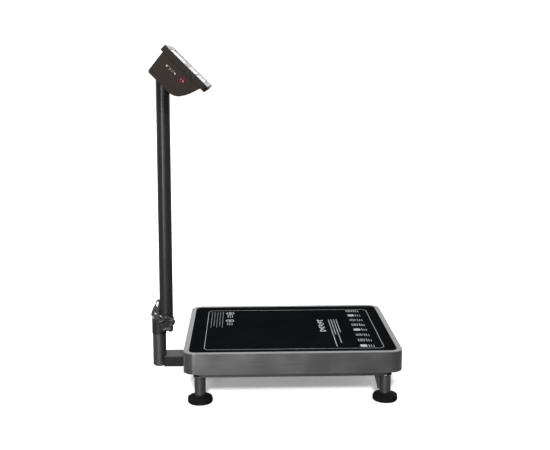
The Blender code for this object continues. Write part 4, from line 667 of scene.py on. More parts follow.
# ------------------------------------------------------------------------------- platform
@dataclass
class Platform:
    """The cover, its black panel and the panel's generic printed marks."""

    ink: float = 0.00006
    outline_inset: tuple[float, float, float, float] = (0.046, 0.039, 0.031, 0.045)
    outline_width: float = 0.0011
    note_columns: tuple[float, ...] = (-0.194, -0.187, -0.180, -0.173, -0.166)
    note_span: Point2 = (0.005, 0.143)
    badge_x: float = -0.1475
    badge_rows: tuple[float, ...] = (0.128, 0.062)
    mark_x: Point2 = (0.074, 0.088)
    mark_span: Point2 = (-0.037, 0.065)
    line_places: tuple[tuple[float, float, float], ...] = (
        (0.103, -0.153, 0.064), (0.1095, -0.062, 0.064), (0.116, -0.128, 0.064),
        (0.1225, -0.045, 0.064))
    row_x: Point2 = (0.157, 0.190)
    row_span: Point2 = (-0.150, 0.140)
    rows: int = 8
    low: Vector = field(init=False)
    high: Vector = field(init=False)

    def __post_init__(self) -> None:
        """Read the cover's and the panel's places."""
        self.low, self.high = (Vector(p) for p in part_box("platform_cover"))
        self.centre = (self.low + self.high) / 2
        self.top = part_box("platform_panel")[1][2]

    def build(self) -> None:
        """Dress the cover and panel and print the marks."""
        dress(["platform_cover"], COVER_STEEL)
        dress(["platform_panel"], PANEL_FILM)
        self.outline()
        self.notes()
        self.badges()
        self.main_mark()
        self.rows_of_signs()

    def pen(self, name: str) -> Builder:
        """Start a printed piece with its origin on the middle of the panel's top."""
        return Builder(name, Matrix.Translation((self.centre.x, self.centre.y, self.top)))

    def stroke(self, pen: Builder, low: Point2, high: Point2) -> None:
        """Print one rectangle of ink."""
        pen.block((*low, -self.ink / 3), (*high, self.ink))

    def outline(self) -> None:
        """Print the thin border line."""
        left, right, near, far = self.outline_inset
        half = (self.high - self.low) / 2
        low, high = (left - half.x, near - half.y), (half.x - right, half.y - far)
        w = self.outline_width
        pen = self.pen("panel_border")
        pen.ring(rounded(low, high, 0.014), rounded((low[0] + w, low[1] + w),
                                                    (high[0] - w, high[1] - w), 0.014 - w),
                 -self.ink / 3, self.ink)
        pen.finish(PANEL_INK, "base")

    def dashes(self, pen: Builder, x: float, start: float, end: float, width: float,
               seed: int) -> None:
        """Print a line of dashes that reads as text from afar, without any letters."""
        draw = random.Random(seed)
        y = start
        while y < end - 0.002:
            length = min(draw.uniform(0.004, 0.013), end - y)
            self.stroke(pen, (x - width / 2, y), (x + width / 2, y + length))
            y += length + draw.uniform(0.0010, 0.0018)

    def notes(self) -> None:
        """Print the block of fine lines near the column."""
        pen = self.pen("panel_notes")
        for number, x in enumerate(self.note_columns):
            start = self.note_span[0] + 0.012 * (number % 2)
            self.dashes(pen, x, start, self.note_span[1], 0.0012, 11 + number)
        pen.finish(PANEL_FINE_INK, "base")

    def badges(self) -> None:
        """Print two plain round signs beside the notes."""
        pen = self.pen("panel_badges")
        for number, y in enumerate(self.badge_rows):
            centre = (self.badge_x, y)
            pen.ring(circle(centre, 0.0105, 28), circle(centre, 0.0082, 28), -self.ink / 3,
                     self.ink)
            pen.prism(circle(centre, 0.0038, 16), -self.ink / 3, self.ink)
            for step in (-1, 0, 1):
                x = self.badge_x + step * 0.0055
                self.dashes(pen, x, y - 0.038, y - 0.015 - 0.003 * number, 0.0018, 40 + step)
        pen.finish(PANEL_INK, "base")

    def main_mark(self) -> None:
        """Print the bold mark as plain blocks, and the fine lines beside it."""
        pen = self.pen("panel_main_mark")
        count = 7
        pitch = (self.mark_span[1] - self.mark_span[0]) / count
        for number in range(count):
            y = self.mark_span[0] + pitch * number
            low = self.mark_x[0] + (0.003 if number % 3 == 1 else 0.0)
            high = self.mark_x[1] - (0.004 if number % 2 else 0.0)
            self.stroke(pen, (low, y), (high, y + pitch * 0.30))
            self.stroke(pen, (low, y + pitch * 0.30), (low + 0.0035, y + pitch * 0.82))
            self.stroke(pen, (high - 0.0035, y + pitch * 0.30), (high, y + pitch * 0.62))
        for number, (x, start, end) in enumerate(self.line_places):
            self.dashes(pen, x, start, end, 0.0019, 70 + number)
        pen.finish(PANEL_INK, "base")

    def rows_of_signs(self) -> None:
        """Print the column of plain signs, each with two short lines."""
        pen = self.pen("panel_signs")
        pitch = (self.row_span[1] - self.row_span[0]) / (self.rows - 1)
        x0, x1 = self.row_x
        for number in range(self.rows):
            y = self.row_span[0] + pitch * number
            low, high = (x0, y - 0.0085), (x0 + 0.016, y + 0.0085)
            if number % 3 == 0:
                pen.prism(rounded(low, high, 0.003, 3), -self.ink / 3, self.ink)
            elif number % 3 == 1:
                pen.ring(rounded(low, high, 0.004, 4),
                         rounded((low[0] + 0.0018, low[1] + 0.0018),
                                 (high[0] - 0.0018, high[1] - 0.0018), 0.0022, 4),
                         -self.ink / 3, self.ink)
                pen.prism(circle((x0 + 0.008, y), 0.0030, 14), -self.ink / 3, self.ink)
            else:
                centre = (x0 + 0.008, y)
                pen.ring(circle(centre, 0.0082, 22), circle(centre, 0.0064, 22), -self.ink / 3,
                         self.ink)
                self.stroke(pen, (x0 + 0.003, y - 0.0008), (x0 + 0.013, y + 0.0008))
            for step, x in enumerate((x0 + 0.0205, x0 + 0.0255, x1 - 0.002)):
                self.dashes(pen, x, y - 0.010, y + 0.010 - 0.003 * step, 0.0017,
                            90 + 5 * number + step)
        pen.finish(PANEL_INK, "base")


# ------------------------------------------------------------------------------- base
@dataclass
class Undercarriage:
    """The welded frame, the load cell and what carries the cover."""

    bead: float = 0.0020
    leg_radius: float = 0.013
    bolt_head: float = 0.0058
    bolt_height: float = 0.0045

    def build(self) -> None:
        """Dress the nodes and add weld beads and bolts."""
        dress(["base_frame"], FRAME_COAT, 0.0006)
        dress(["top_frame"], FRAME_COAT, 0.0005)
        dress(["load_cell"], MACHINED)
        self.leg_beads()
        self.arm_bolts()
        self.cell_seals()

    def leg_beads(self) -> None:
        """Lay a rippled weld bead round each leg where it meets the frame."""
        for number in range(1, 5):
            low, high = (Vector(p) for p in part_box(f"foot_stud_{number}"))
            centre = (low + high) / 2
            frame_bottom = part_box("column_arm")[1][2]
            pen = Builder(f"leg_weld_{number}",
                          Matrix.Translation((centre.x, centre.y, frame_bottom)))
            self.bead_ring(pen, self.leg_radius + 0.0004, 0.0, FULL_TURN, 44)
            pen.finish(FRAME_COAT, "base")

    def bead_ring(self, pen: Builder, radius: float, start: float, end: float, steps: int) -> None:
        """Add a rippled bead as a closed ring round Z."""
        rings = []
        for i in range(steps):
            angle = start + (end - start) * i / steps
            size = self.bead * (1 + 0.16 * math.sin(11 * angle) + 0.08 * math.sin(23 * angle + 1))
            ring = []
            for k in range(8):
                turn = FULL_TURN * k / 8
                r, z = radius + size * math.cos(turn), size * math.sin(turn)
                ring.append((r * math.cos(angle), r * math.sin(angle), z))
            rings.append(ring)
        pen.solid(rings, smooth=True, closed=True)

    def arm_bolts(self) -> None:
        """Add the bolts that hold the arm under the frame."""
        low, high = (Vector(p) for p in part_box("column_arm"))
        frame_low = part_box("platform_cover")[0][0] + 0.030
        number = 0
        for x in (frame_low + 0.012, high.x - 0.009):
            for side in (-1, 1):
                number += 1
                pen = Builder(f"arm_bolt_{number}",
                              Matrix.Translation((x, side * 0.013, low.z)))
                r, h = self.bolt_head, self.bolt_height
                pen.lathe([(r + 0.0016, 0.0002), (r + 0.0016, -0.0010)], 28)
                head = circle((0.0, 0.0), r, 6)
                small = [(x * 0.93, y * 0.93) for x, y in head]
                pen.solid([[(x, y, -0.0010) for x, y in head],
                           [(x, y, -h + 0.0005) for x, y in head],
                           [(x, y, -h) for x, y in small]])
                pen.finish(ZINC, "base")

    def cell_seals(self) -> None:
        """Add the potting over the cell's gauges and its plain side cover."""
        low, high = (Vector(p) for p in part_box("load_cell"))
        middle = (low + high) / 2
        for side, y in ((-1, low.y), (1, high.y)):
            pen = Builder("cell_seal_near" if side < 0 else "cell_seal_far",
                          Matrix.Translation((middle.x, y, middle.z)) @ Matrix.Rotation(
                              math.radians(90), 4, "X"))
            points = rounded((-0.026, -0.011), (0.026, 0.011), 0.009)
            top = 0.0012
            edge = -0.0006
            if side > 0:
                top, edge = -top, -edge
            inner = rounded((-0.0245, -0.0095), (0.0245, 0.0095), 0.0080)
            pen.solid([[(x, z, edge) for x, z in points], [(x, z, top * 0.5) for x, z in points],
                       [(x, z, top) for x, z in inner]])
            pen.finish(SEAL, "base")


@dataclass
class LevellingFoot:
    """One foot: ribbed rubber pad, threaded stud and its collar nut."""

    number: int
    ribs: int = 30
    rib_depth: float = 0.0012
    edge: float = 0.0026

    def build(self) -> None:
        """Build the foot in the place of its two CAD nodes."""
        pad_low, pad_high = (Vector(p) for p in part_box(f"foot_pad_{self.number}"))
        stud_low, stud_high = (Vector(p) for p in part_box(f"foot_stud_{self.number}"))
        centre = (pad_low + pad_high) / 2
        spot = Matrix.Translation((centre.x, centre.y, 0.0))
        body = f"foot_{self.number}"
        self.pad(spot, body, (pad_high.x - pad_low.x) / 2 - 0.00005, pad_high.z)
        self.stud(spot, body, stud_low.z, stud_high.z, (stud_high.x - stud_low.x) / 2, pad_high.z)

    def pad(self, spot: Matrix, body: str, radius: float, height: float) -> None:
        """Build the domed pad with its ribbed rim."""
        top = height - 0.0002
        wall = top - 0.0016 - self.edge
        profile = [(0.0012, 0.0), (radius - 0.0030, 0.0), (radius - 0.0009, 0.0006),
                   (radius, 0.0022), (radius, 0.0040), (radius, wall - 0.0010), (radius, wall)]
        profile += [(radius - self.edge * (1 - math.cos(a)), wall + self.edge * math.sin(a))
                    for a in (0.4, 0.8, 1.2)]
        profile += [(radius - self.edge, wall + self.edge), (0.0160, top - 0.0008),
                    (0.0145, top), (0.0070, top), (0.0066, top - 0.0004),
                    (0.0012, top - 0.0005)]
        pen = Builder(f"levelling_pad_{self.number}", spot)
        pen.lathe(profile, 8 * self.ribs, True, self.ribs, self.rib_depth, (0.0024, wall))
        pen.finish(RUBBER, body, [f"foot_pad_{self.number}"])

    def stud(self, spot: Matrix, body: str, low: float, high: float, collar: float,
             pad_top: float) -> None:
        """Build the threaded shank and the ribbed collar nut on it."""
        shank = 0.006
        seat = pad_top + 0.0003
        rim = seat + 0.0057
        profile = [(0.0010, low), (shank - 0.0002, low), (shank - 0.0002, seat - 0.0001)]
        height = rim + 0.0001
        while height < high - 0.002:
            profile += [(shank - 0.0007, height), (shank - 0.0001, height + 0.0006)]
            height += 0.0012
        profile += [(shank - 0.0008, high - 0.0006), (0.0010, high)]
        pen = Builder(f"levelling_stud_{self.number}", spot)
        pen.lathe(profile, 32)
        pen.finish(ZINC, body, [f"foot_stud_{self.number}"])
        nut = Builder(f"collar_nut_{self.number}", spot)
        inner = shank - 0.0003
        nut.lathe([(inner, seat), (collar - 0.0006, seat), (collar, seat + 0.0006),
                   (collar, rim - 0.0006), (collar - 0.0006, rim), (inner, rim)], 96, True, 24,
                  0.0006, (seat + 0.0005, rim - 0.0005))
        nut.finish(CAST_BLACK, body)


@dataclass
class ColumnFoot:
    """The arm under the platform, the post and what joins them."""

    bead: float = 0.0017

    def build(self) -> None:
        """Dress the nodes and add the weld round the post."""
        dress(["lower_post"], FRAME_COAT)
        dress(["column_arm"], ARM_COAT)
        dress(["post_cap"], PLASTIC_BLACK)
        self.post_weld()

    def post_weld(self) -> None:
        """Lay the bead where the coped arm meets the post."""
        arm_low, arm_high = (Vector(p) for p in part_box("column_arm"))
        post_low, post_high = (Vector(p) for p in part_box("lower_post"))
        radius = (post_high.x - post_low.x) / 2
        centre = (post_low.x + post_high.x) / 2
        for label, height in (("top", arm_high.z), ("bottom", arm_low.z)):
            pen = Builder(f"post_weld_{label}", Matrix.Translation((centre, 0, height)))
            rings = []
            steps = 26
            for i in range(steps + 1):
                angle = math.radians(-80 + 160 * i / steps)
                fade = max(0.15, max(0.0, math.sin(math.pi * i / steps)) ** 0.4)
                size = self.bead * fade * (1 + 0.18 * math.sin(17 * angle))
                rings.append([((radius + size * math.cos(t)) * math.cos(angle),
                               (radius + size * math.cos(t)) * math.sin(angle),
                               size * math.sin(t)) for t in
                              (FULL_TURN * k / 8 for k in range(8))])
            pen.solid(rings, smooth=True)
            pen.finish(COLUMN_COAT, "base")


# ------------------------------------------------------------------------------- fold joint
@dataclass
class FoldJoint:
    """Hinge castings, pivot bolt, star knob and the sprung lock lever."""

    lobes: int = 5
    waist: float = 0.0163
    reach: float = 0.0224
    first_lobe: float = math.radians(-52)

    def build(self) -> None:
        """Dress the castings and build the knob."""
        dress(["hinge_base", "hinge_knuckle"], CAST_BLACK, 0.0007)
        dress(["lock_lever"], CAST_BLACK, 0.0009)
        dress(["pivot_bolt", "pivot_washer", "lever_pin"], ZINC, 0.0003)
        dress(["lever_spring"], SPRING_STEEL)
        self.knob()

    def star(self, scale: float, y: float, draw_in: float = 0.0) -> list[Point3]:
        """Give one ring of the knob's lobed outline."""
        ring = []
        count = self.lobes * 16
        middle, swing = (self.reach + self.waist) / 2, (self.reach - self.waist) / 2
        for i in range(count):
            angle = FULL_TURN * i / count
            radius = (middle + swing * math.cos(self.lobes * (angle - self.first_lobe))) * scale
            radius -= draw_in
            ring.append((radius * math.cos(angle), y, radius * math.sin(angle)))
        return ring

    def knob(self) -> None:
        """Build the star knob with rounded lobes, a dished face and a plain cap."""
        low, high = (Vector(p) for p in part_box("fold_knob"))
        front, back = low.y + 0.0001, high.y
        pivot = next(j for j in frame["joints"] if j["name"] == "knob_turn")["pos_m"]
        spot = Matrix.Translation((pivot[0], 0.0, pivot[2]))
        pen = Builder("star_knob", spot)
        rings = [self.star(0.48, back - 0.0002), self.star(0.50, back - 0.0040),
                 self.star(1.0, back - 0.0043, 0.0026), self.star(1.0, back - 0.0050, 0.0010),
                 self.star(1.0, back - 0.0066), self.star(1.0, front + 0.0036),
                 self.star(1.0, front + 0.0014, 0.0008), self.star(1.0, front + 0.0003, 0.0024),
                 self.star(0.72, front), self.star(0.55, front + 0.0008),
                 self.star(0.20, front + 0.0012)]
        pen.solid(rings, smooth=True)
        pen.finish(KNOB_BLACK, "knob", ["fold_knob"], 50.0)
        cap = Builder("knob_cap", spot @ Matrix.Translation((0, front + 0.0016, 0))
                      @ Matrix.Rotation(math.radians(90), 4, "X"))
        cap.lathe([(0.0008, -0.0010), (0.0072, -0.0010), (0.0074, 0.0006), (0.0066, 0.0013),
                   (0.0030, 0.00155), (0.0008, 0.0016)], 36)
        cap.finish(PLASTIC_BLACK, "knob")


@dataclass
class Column:
    """The folding tube with the plug and nut that carry the console."""

    def build(self) -> None:
        """Dress the column's nodes."""
        dress(["upper_column"], COLUMN_COAT)
        dress(["head_spigot", "spigot_nut"], ZINC, 0.0003)


# ------------------------------------------------------------------------------- console
@dataclass
class Console:
    """The tilted console: shells, face, display, keys, fittings and printer."""

    tilt: float = math.radians(45)
    length: float = 0.136
    width: float = 0.250
    door_hinge: Point3 = (0.021, 0.073, -0.0031)
    film: float = 0.00035
    film_inset: float = 0.0030
    window_size: Point2 = (0.044, 0.132)
    window_centre: Point2 = (0.036, -0.044)
    key_size: float = 0.021
    key_pitch: float = 0.0265
    key_centre: Point2 = (0.096, -0.044)
    key_grid: tuple[int, int] = (2, 5)
    door_size: Point2 = (0.104, 0.078)
    door_centre: Point2 = (0.066, 0.073)
    serial_centre: Point2 = (0.0483, -0.0300)
    port_centres: tuple[Point2, ...] = ((0.0750, -0.0074), (0.0913, -0.0074))
    inlet_centre: Point2 = (0.060, -0.045)
    shell_half: float = 0.123

    def __post_init__(self) -> None:
        """Find the console's own frame from the door's hinge."""
        turn = Matrix.Rotation(self.tilt, 4, "Y")
        hinge = next(j for j in frame["joints"] if j["name"] == "door_hinge")["pos_m"]
        origin = Vector(hinge) - turn @ Vector(self.door_hinge)
        self.matrix = Matrix.Translation(origin) @ turn

    def build(self) -> None:
        """Dress the console's nodes and build its details."""
        dress(["rear_housing", "front_bezel"], CONSOLE_SHELL)
        dress(["display_window"], WINDOW_CLEAR)
        dress(["display_module", "main_board"], BOARD_GREEN)
        dress(["key_carrier", "battery", "power_inlet", "switch_frame", "side_port_1",
               "side_port_2"], PLASTIC_BLACK)
        dress(["printer_chassis", "door_pin", "swivel_bracket"], ZINC)
        dress(["print_head", "feed_motor"], MACHINED)
        dress(["power_rocker"], SWITCH_RED, 0.0006)
        dress(["printer_door"], FACE_FILM)
        dress(["label_roll"], LABEL_PAPER)
        dress(["roll_spool"], PLASTIC_BLACK)
        dress(["platen_roller"], RUBBER)
        dress([f"key_{n:02d}" for n in range(1, 11)], KEY_CAP)
        self.face()
        self.trims()
        self.screen()
        self.legends()
        self.serial_port()
        self.contacts()
        self.switch_marks()
        self.door_details()
        self.screws()

    def key_places(self) -> list[Point2]:
        """Give the keys' centres on the face, row by row."""
        rows, columns = self.key_grid
        return [(self.key_centre[0] + (r - (rows - 1) / 2) * self.key_pitch,
                 self.key_centre[1] + (c - (columns - 1) / 2) * self.key_pitch)
                for r in range(rows) for c in range(columns)]

    def face(self) -> None:
        """Build the light printed film over the bezel, open for window, keys and door."""
        gap = 0.0004
        holes = [self.hole(self.window_centre, (self.window_size[0] + 0.0010,
                                                self.window_size[1] + 0.0010))]
        holes += [self.hole(p, (self.key_size + 2 * gap, self.key_size + 2 * gap))
                  for p in self.key_places()]
        holes.append(self.hole((self.door_centre[0] - 0.0002, self.door_centre[1]),
                               (self.door_size[0] + 0.0020, self.door_size[1] + 0.0016)))
        edge = self.film_inset
        outer = ((edge, -self.width / 2 + edge), (self.length - edge, self.width / 2 - edge))
        pen = Builder("face_film", self.matrix)
        self.lattice(pen, outer, holes, -0.00002, self.film)
        pen.finish(FACE_FILM, "console", sharp=30.0)

    def hole(self, centre: Point2, size: Point2) -> tuple[Point2, Point2]:
        """Give a rectangle's two corners."""
        return ((centre[0] - size[0] / 2, centre[1] - size[1] / 2),
                (centre[0] + size[0] / 2, centre[1] + size[1] / 2))

    def lattice(self, pen: Builder, outer: tuple[Point2, Point2],
                holes: Sequence[tuple[Point2, Point2]], low: float, high: float) -> None:
        """Add one flat plate with rectangular holes.

        Args:
            pen: The piece it is added to.
            outer: Two corners of the plate.
            holes: Two corners of each hole.
            low: Its underside.
            high: Its top.
        """
        xs = sorted({outer[0][0], outer[1][0]} | {p[0] for hole in holes for p in hole})
        ys = sorted({outer[0][1], outer[1][1]} | {p[1] for hole in holes for p in hole})

        def solid(i: int, j: int) -> bool:
            """Tell whether a cell of the lattice is filled."""
            if not (0 <= i < len(xs) - 1 and 0 <= j < len(ys) - 1):
                return False
            x, y = (xs[i] + xs[i + 1]) / 2, (ys[j] + ys[j + 1]) / 2
            return not any(a[0] < x < b[0] and a[1] < y < b[1] for a, b in holes)

        made: dict[tuple[int, int, int], bmesh.types.BMVert] = {}

        def vert(i: int, j: int, k: int) -> bmesh.types.BMVert:
            """Give a corner of the lattice, made on first use."""
            if (i, j, k) not in made:
                spot = Vector((xs[i], ys[j], high if k else low))
                made[(i, j, k)] = pen.bm.verts.new(pen.matrix @ spot)
            return made[(i, j, k)]

        faces = []
        for i in range(len(xs) - 1):
            for j in range(len(ys) - 1):
                if not solid(i, j):
                    continue
                for k in (0, 1):
                    faces.append(pen.bm.faces.new([vert(i, j, k), vert(i + 1, j, k),
                                                   vert(i + 1, j + 1, k), vert(i, j + 1, k)]))
                for (di, dj), (a, b) in (((-1, 0), ((i, j), (i, j + 1))),
                                         ((1, 0), ((i + 1, j), (i + 1, j + 1))),
                                         ((0, -1), ((i, j), (i + 1, j))),
                                         ((0, 1), ((i, j + 1), (i + 1, j + 1)))):
                    if not solid(i + di, j + dj):
                        faces.append(pen.bm.faces.new([vert(*a, 0), vert(*b, 0), vert(*b, 1),
                                                       vert(*a, 1)]))
        bmesh.ops.recalc_face_normals(pen.bm, faces=faces)

    def trims(self) -> None:
        """Print the dark frames round the window and the keys."""
        pen = Builder("face_trims", self.matrix)
        low, high = self.film - 0.00005, self.film + 0.00010
        for centre, size, gap, width, radius in (
                (self.window_centre, self.window_size, 0.0012, 0.0030, 0.002),
                (self.key_centre, (self.key_grid[0] * self.key_pitch - 0.004,
                                   self.key_grid[1] * self.key_pitch - 0.004), 0.0016, 0.0008,
                 0.002)):
            a, b = self.hole(centre, (size[0] + 2 * gap, size[1] + 2 * gap))
            c, d = self.hole(centre, (size[0] + 2 * (gap + width), size[1] + 2 * (gap + width)))
            pen.ring(rounded(c, d, radius + width, 4), rounded(a, b, radius, 4), low, high)
        pen.finish(FACE_TRIM, "console")

    def screen(self) -> None:
        """Build the lit screen and its seven-segment numbers behind the window."""
        (u0, v0), (u1, v1) = self.hole(self.window_centre, self.window_size)
        module_top = -0.0048 - 0.0003
        pen = Builder("screen_panel", self.matrix)
        pen.block((u0 + 0.005, v0 + 0.005, module_top - 0.0003),
                  (u1 - 0.005, v1 - 0.005, module_top))
        pen.finish(SCREEN, "console")
        ink = Builder("screen_numbers", self.matrix)
        for down, text, across in ((0.0095, "0.000", 0.036), (0.0095, "0.00", 0.074),
                                   (0.0255, "0.00", 0.074), (0.0255, "0", 0.036)):
            self.number(ink, text, u0 + down, v0 + across, 0.0100, module_top)
        u = u0 + 0.0235
        ink.block((u, v0 + 0.008, module_top), (u + 0.0004, v1 - 0.008, module_top + 0.00005))
        ink.finish(SCREEN_INK, "console")

    def number(self, pen: Builder, text: str, top: float, right: float, height: float,
               seat: float) -> None:
        """Add a seven-segment number, read from the keys' side.

        Args:
            pen: The piece it is added to.
            text: Digits and points.
            top: Distance of its top from the face's top edge.
            right: Where it ends across the face.
            height: Height of a digit.
            seat: Height of the screen out of the face.
        """
        width, thick = height * 0.55, height * 0.12
        segments = {"0": "abcdef", "1": "bc", "2": "abged", "3": "abgcd", "4": "fgbc", "5": "afgcd"}
        v = right
        for letter in reversed(text):
            if letter == ".":
                pen.block((top + height - thick, v - thick, seat),
                          (top + height, v, seat + 0.00005))
                v -= thick * 2.2
                continue
            left = v - width
            mid = top + height / 2
            spans = {"a": ((top, left), (top + thick, v)),
                     "b": ((top, v - thick), (mid, v)),
                     "c": ((mid, v - thick), (top + height, v)),
                     "d": ((top + height - thick, left), (top + height, v)),
                     "e": ((mid, left), (top + height, left + thick)),
                     "f": ((top, left), (mid, left + thick)),
                     "g": ((mid - thick / 2, left), (mid + thick / 2, v))}
            for name in segments[letter]:
                (a, b), (c, d) = spans[name]
                pen.block((a + 0.0001, b + 0.0001, seat), (c - 0.0001, d - 0.0001, seat + 0.00005))
            v = left - thick * 1.6

    def legends(self) -> None:
        """Put a plain digit on each key."""
        turn = Matrix(((0, -1, 0), (1, 0, 0), (0, 0, 1))).to_4x4()
        for number, (u, v) in enumerate(self.key_places(), 1):
            curve = bpy.data.curves.new(f"digit_{number}", "FONT")
            curve.body = str(number % 10)
            curve.size = 0.0125
            curve.align_x = "CENTER"
            curve.align_y = "CENTER"
            curve.extrude = 0.00004
            guide = bpy.data.objects.new("digit_guide", curve)
            bpy.context.scene.collection.objects.link(guide)
            mesh = bpy.data.meshes.new_from_object(
                guide.evaluated_get(bpy.context.evaluated_depsgraph_get()))
            bpy.data.objects.remove(guide, do_unlink=True)
            mesh.transform(self.matrix @ Matrix.Translation((u, v, 0.00083)) @ turn)
            mesh.materials.clear()
            mesh.materials.append(KEY_INK.material())
            piece = bpy.data.objects.new(f"key_digit_{number:02d}", mesh)
            bpy.context.scene.collection.objects.link(piece)
            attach(piece, f"key_{number:02d}")
        LOG.info("ten digits ride on their keys")

    def side_frame(self, centre: Point2, near: bool = True) -> Matrix:
        """Give a frame on a side face: X along the face's slope, Y out of the face, Z outwards."""
        side = -1 if near else 1
        spot = Matrix.Translation((centre[0], side * self.shell_half, centre[1]))
        return self.matrix @ spot @ Matrix.Rotation(math.radians(90 if near else -90), 4, "X")

    def serial_port(self) -> None:
        """Build the nine-way connector: shell, insert, pins and two jack screws."""
        spot = self.side_frame(self.serial_centre)
        half, rise, slant = 0.0083, 0.0041, 0.0011
        outer = [(-half, rise), (half, rise), (half - slant, -rise), (-half + slant, -rise)]
        body = Builder("serial_body", spot)
        body.prism(outer, -0.0120, -0.0004)
        body.prism(rounded((-0.0160, -0.0058), (0.0160, 0.0058), 0.0015, 4), -0.0040, -0.0029)
        body.finish(PLASTIC_BLACK, "console", ["serial_connector"])
        inner = [(x * 0.93, y * 0.86) for x, y in outer]
        shell = Builder("serial_shell", spot)
        shell.ring(outer, inner, -0.0004, 0.0014)
        shell.finish(CAST_BLACK, "console")
        pins = Builder("serial_pins", spot)
        for count, y in ((5, 0.0014), (4, -0.0014)):
            for i in range(count):
                x = (i - (count - 1) / 2) * 0.00277
                pins.prism(circle((x, y), 0.0005, 8), -0.0006, 0.0009, True)
        pins.finish(GOLD_CONTACT, "console")
        for number, x in enumerate((-0.0125, 0.0125), 1):
            screw = Builder(f"jack_screw_{number}", spot)
            hexagon, hole = circle((x, 0.0), 0.0024, 6), circle((x, 0.0), 0.0012, 6)
            steps = ((hexagon, -0.0005), (hexagon, 0.0014), (hole, 0.0014), (hole, 0.0003))
            screw.solid([[(a, b, z) for a, b in ring] for ring, z in steps])
            screw.finish(DULL_STEEL, "console")

    def contacts(self) -> None:
        """Add the springs inside the data ports and the pin in the power inlet."""
        reach = self.width / 2 - self.shell_half
        for number, centre in enumerate(self.port_centres, 1):
            pen = Builder(f"port_contacts_{number}", self.side_frame(centre))
            for i in range(6):
                x = (i - 2.5) * 0.0010
                pen.block((x - 0.0002, -0.0026, reach - 0.0085),
                          (x + 0.0002, 0.0012, reach - 0.0078))
            pen.finish(GOLD_CONTACT, "console")
        pin = Builder("inlet_pin", self.side_frame(self.inlet_centre, near=False))
        pin.lathe([(0.0004, -0.0092), (0.0010, -0.0092), (0.0010, -0.0012), (0.0004, -0.0006)], 16)
        pin.finish(ZINC, "console")

    def switch_marks(self) -> None:
        """Print the plain bar and ring on the rocker's two ends."""
        joint = next(j for j in frame["joints"] if j["name"] == "rocker_tilt")
        angle = math.radians(8)
        spot = (Matrix.Translation(Vector(joint["pos_m"])) @ self.matrix.to_3x3().to_4x4()
                @ Matrix.Rotation(-angle, 4, "Z") @ Matrix.Rotation(math.radians(90), 4, "X"))
        half, face = 0.0061, 0.0052
        slope = math.tan(angle)
        for side in (-1, 1):
            tilt = Matrix.Rotation(math.atan(slope) * side, 4, "Y")
            lift = Matrix.Translation((side * half * 0.55, 0.0,
                                       face - half * 0.55 * slope + 0.00001))
            pen = Builder("switch_on_mark" if side < 0 else "switch_off_mark", spot @ lift @ tilt)
            if side < 0:
                pen.block((-0.0003, -0.0017, -0.00003), (0.0003, 0.0017, 0.00004))
            else:
                pen.ring(circle((0, 0), 0.0017, 20), circle((0, 0), 0.0012, 20), -0.00003, 0.00004)
            pen.finish(SWITCH_INK, "rocker")

    def door_details(self) -> None:
        """Add the grip ridges and the toothed tear bar of the printer's door."""
        grip = Builder("door_grip", self.matrix)
        u = self.door_centre[0] + self.door_size[0] / 2 - 0.0135
        for i in range(5):
            a = u - i * 0.0022
            points = arc((a, 0.0), 0.0006, 180, 0, 5)
            rings = [[(x, v, z * 0.6 - 0.0001) for x, z in points]
                     for v in (self.door_centre[1] - 0.014, self.door_centre[1] + 0.014)]
            grip.solid(rings)
        grip.finish(FACE_TRIM, "door")
        bar = Builder("tear_bar", self.matrix)
        slot = self.door_centre[0] + self.door_size[0] / 2 - 0.0045 + 0.00125
        v0, v1 = self.door_centre[1] - 0.029, self.door_centre[1] + 0.029
        teeth = 48
        pitch = (v1 - v0) / teeth
        points = [(slot + 0.0024, v1), (slot + 0.0024, v0)]
        for i in range(teeth):
            points += [(slot + 0.0002, v0 + pitch * i), (slot - 0.0004, v0 + pitch * (i + 0.5))]
        points.append((slot + 0.0002, v1))
        bar.prism(points, -0.00003, 0.00035)
        bar.finish(ZINC, "door")

    def screws(self) -> None:
        """Add the four recessed screws in the housing's back wall."""
        depth = -0.0700
        number = 0
        for u in (0.024, 0.066):
            for v in (-0.100, 0.100):
                number += 1
                spot = (self.matrix @ Matrix.Translation((u, v, depth))
                        @ Matrix.Rotation(math.pi, 4, "X"))
                pen = Builder(f"housing_screw_{number}", spot)
                pen.lathe([(0.0008, -0.0012), (0.0028, -0.0012), (0.0033, -0.0002),
                           (0.0031, 0.0002), (0.0016, 0.00035), (0.0008, 0.0004)], 24)
                pen.finish(ZINC, "console")
                slot = Builder(f"screw_cross_{number}", spot)
                slot.block((-0.0018, -0.0003, 0.0001), (0.0018, 0.0003, 0.00046))
                slot.block((-0.0003, -0.0018, 0.0001), (0.0003, 0.0018, 0.00046))
                slot.finish(CAST_BLACK, "console")


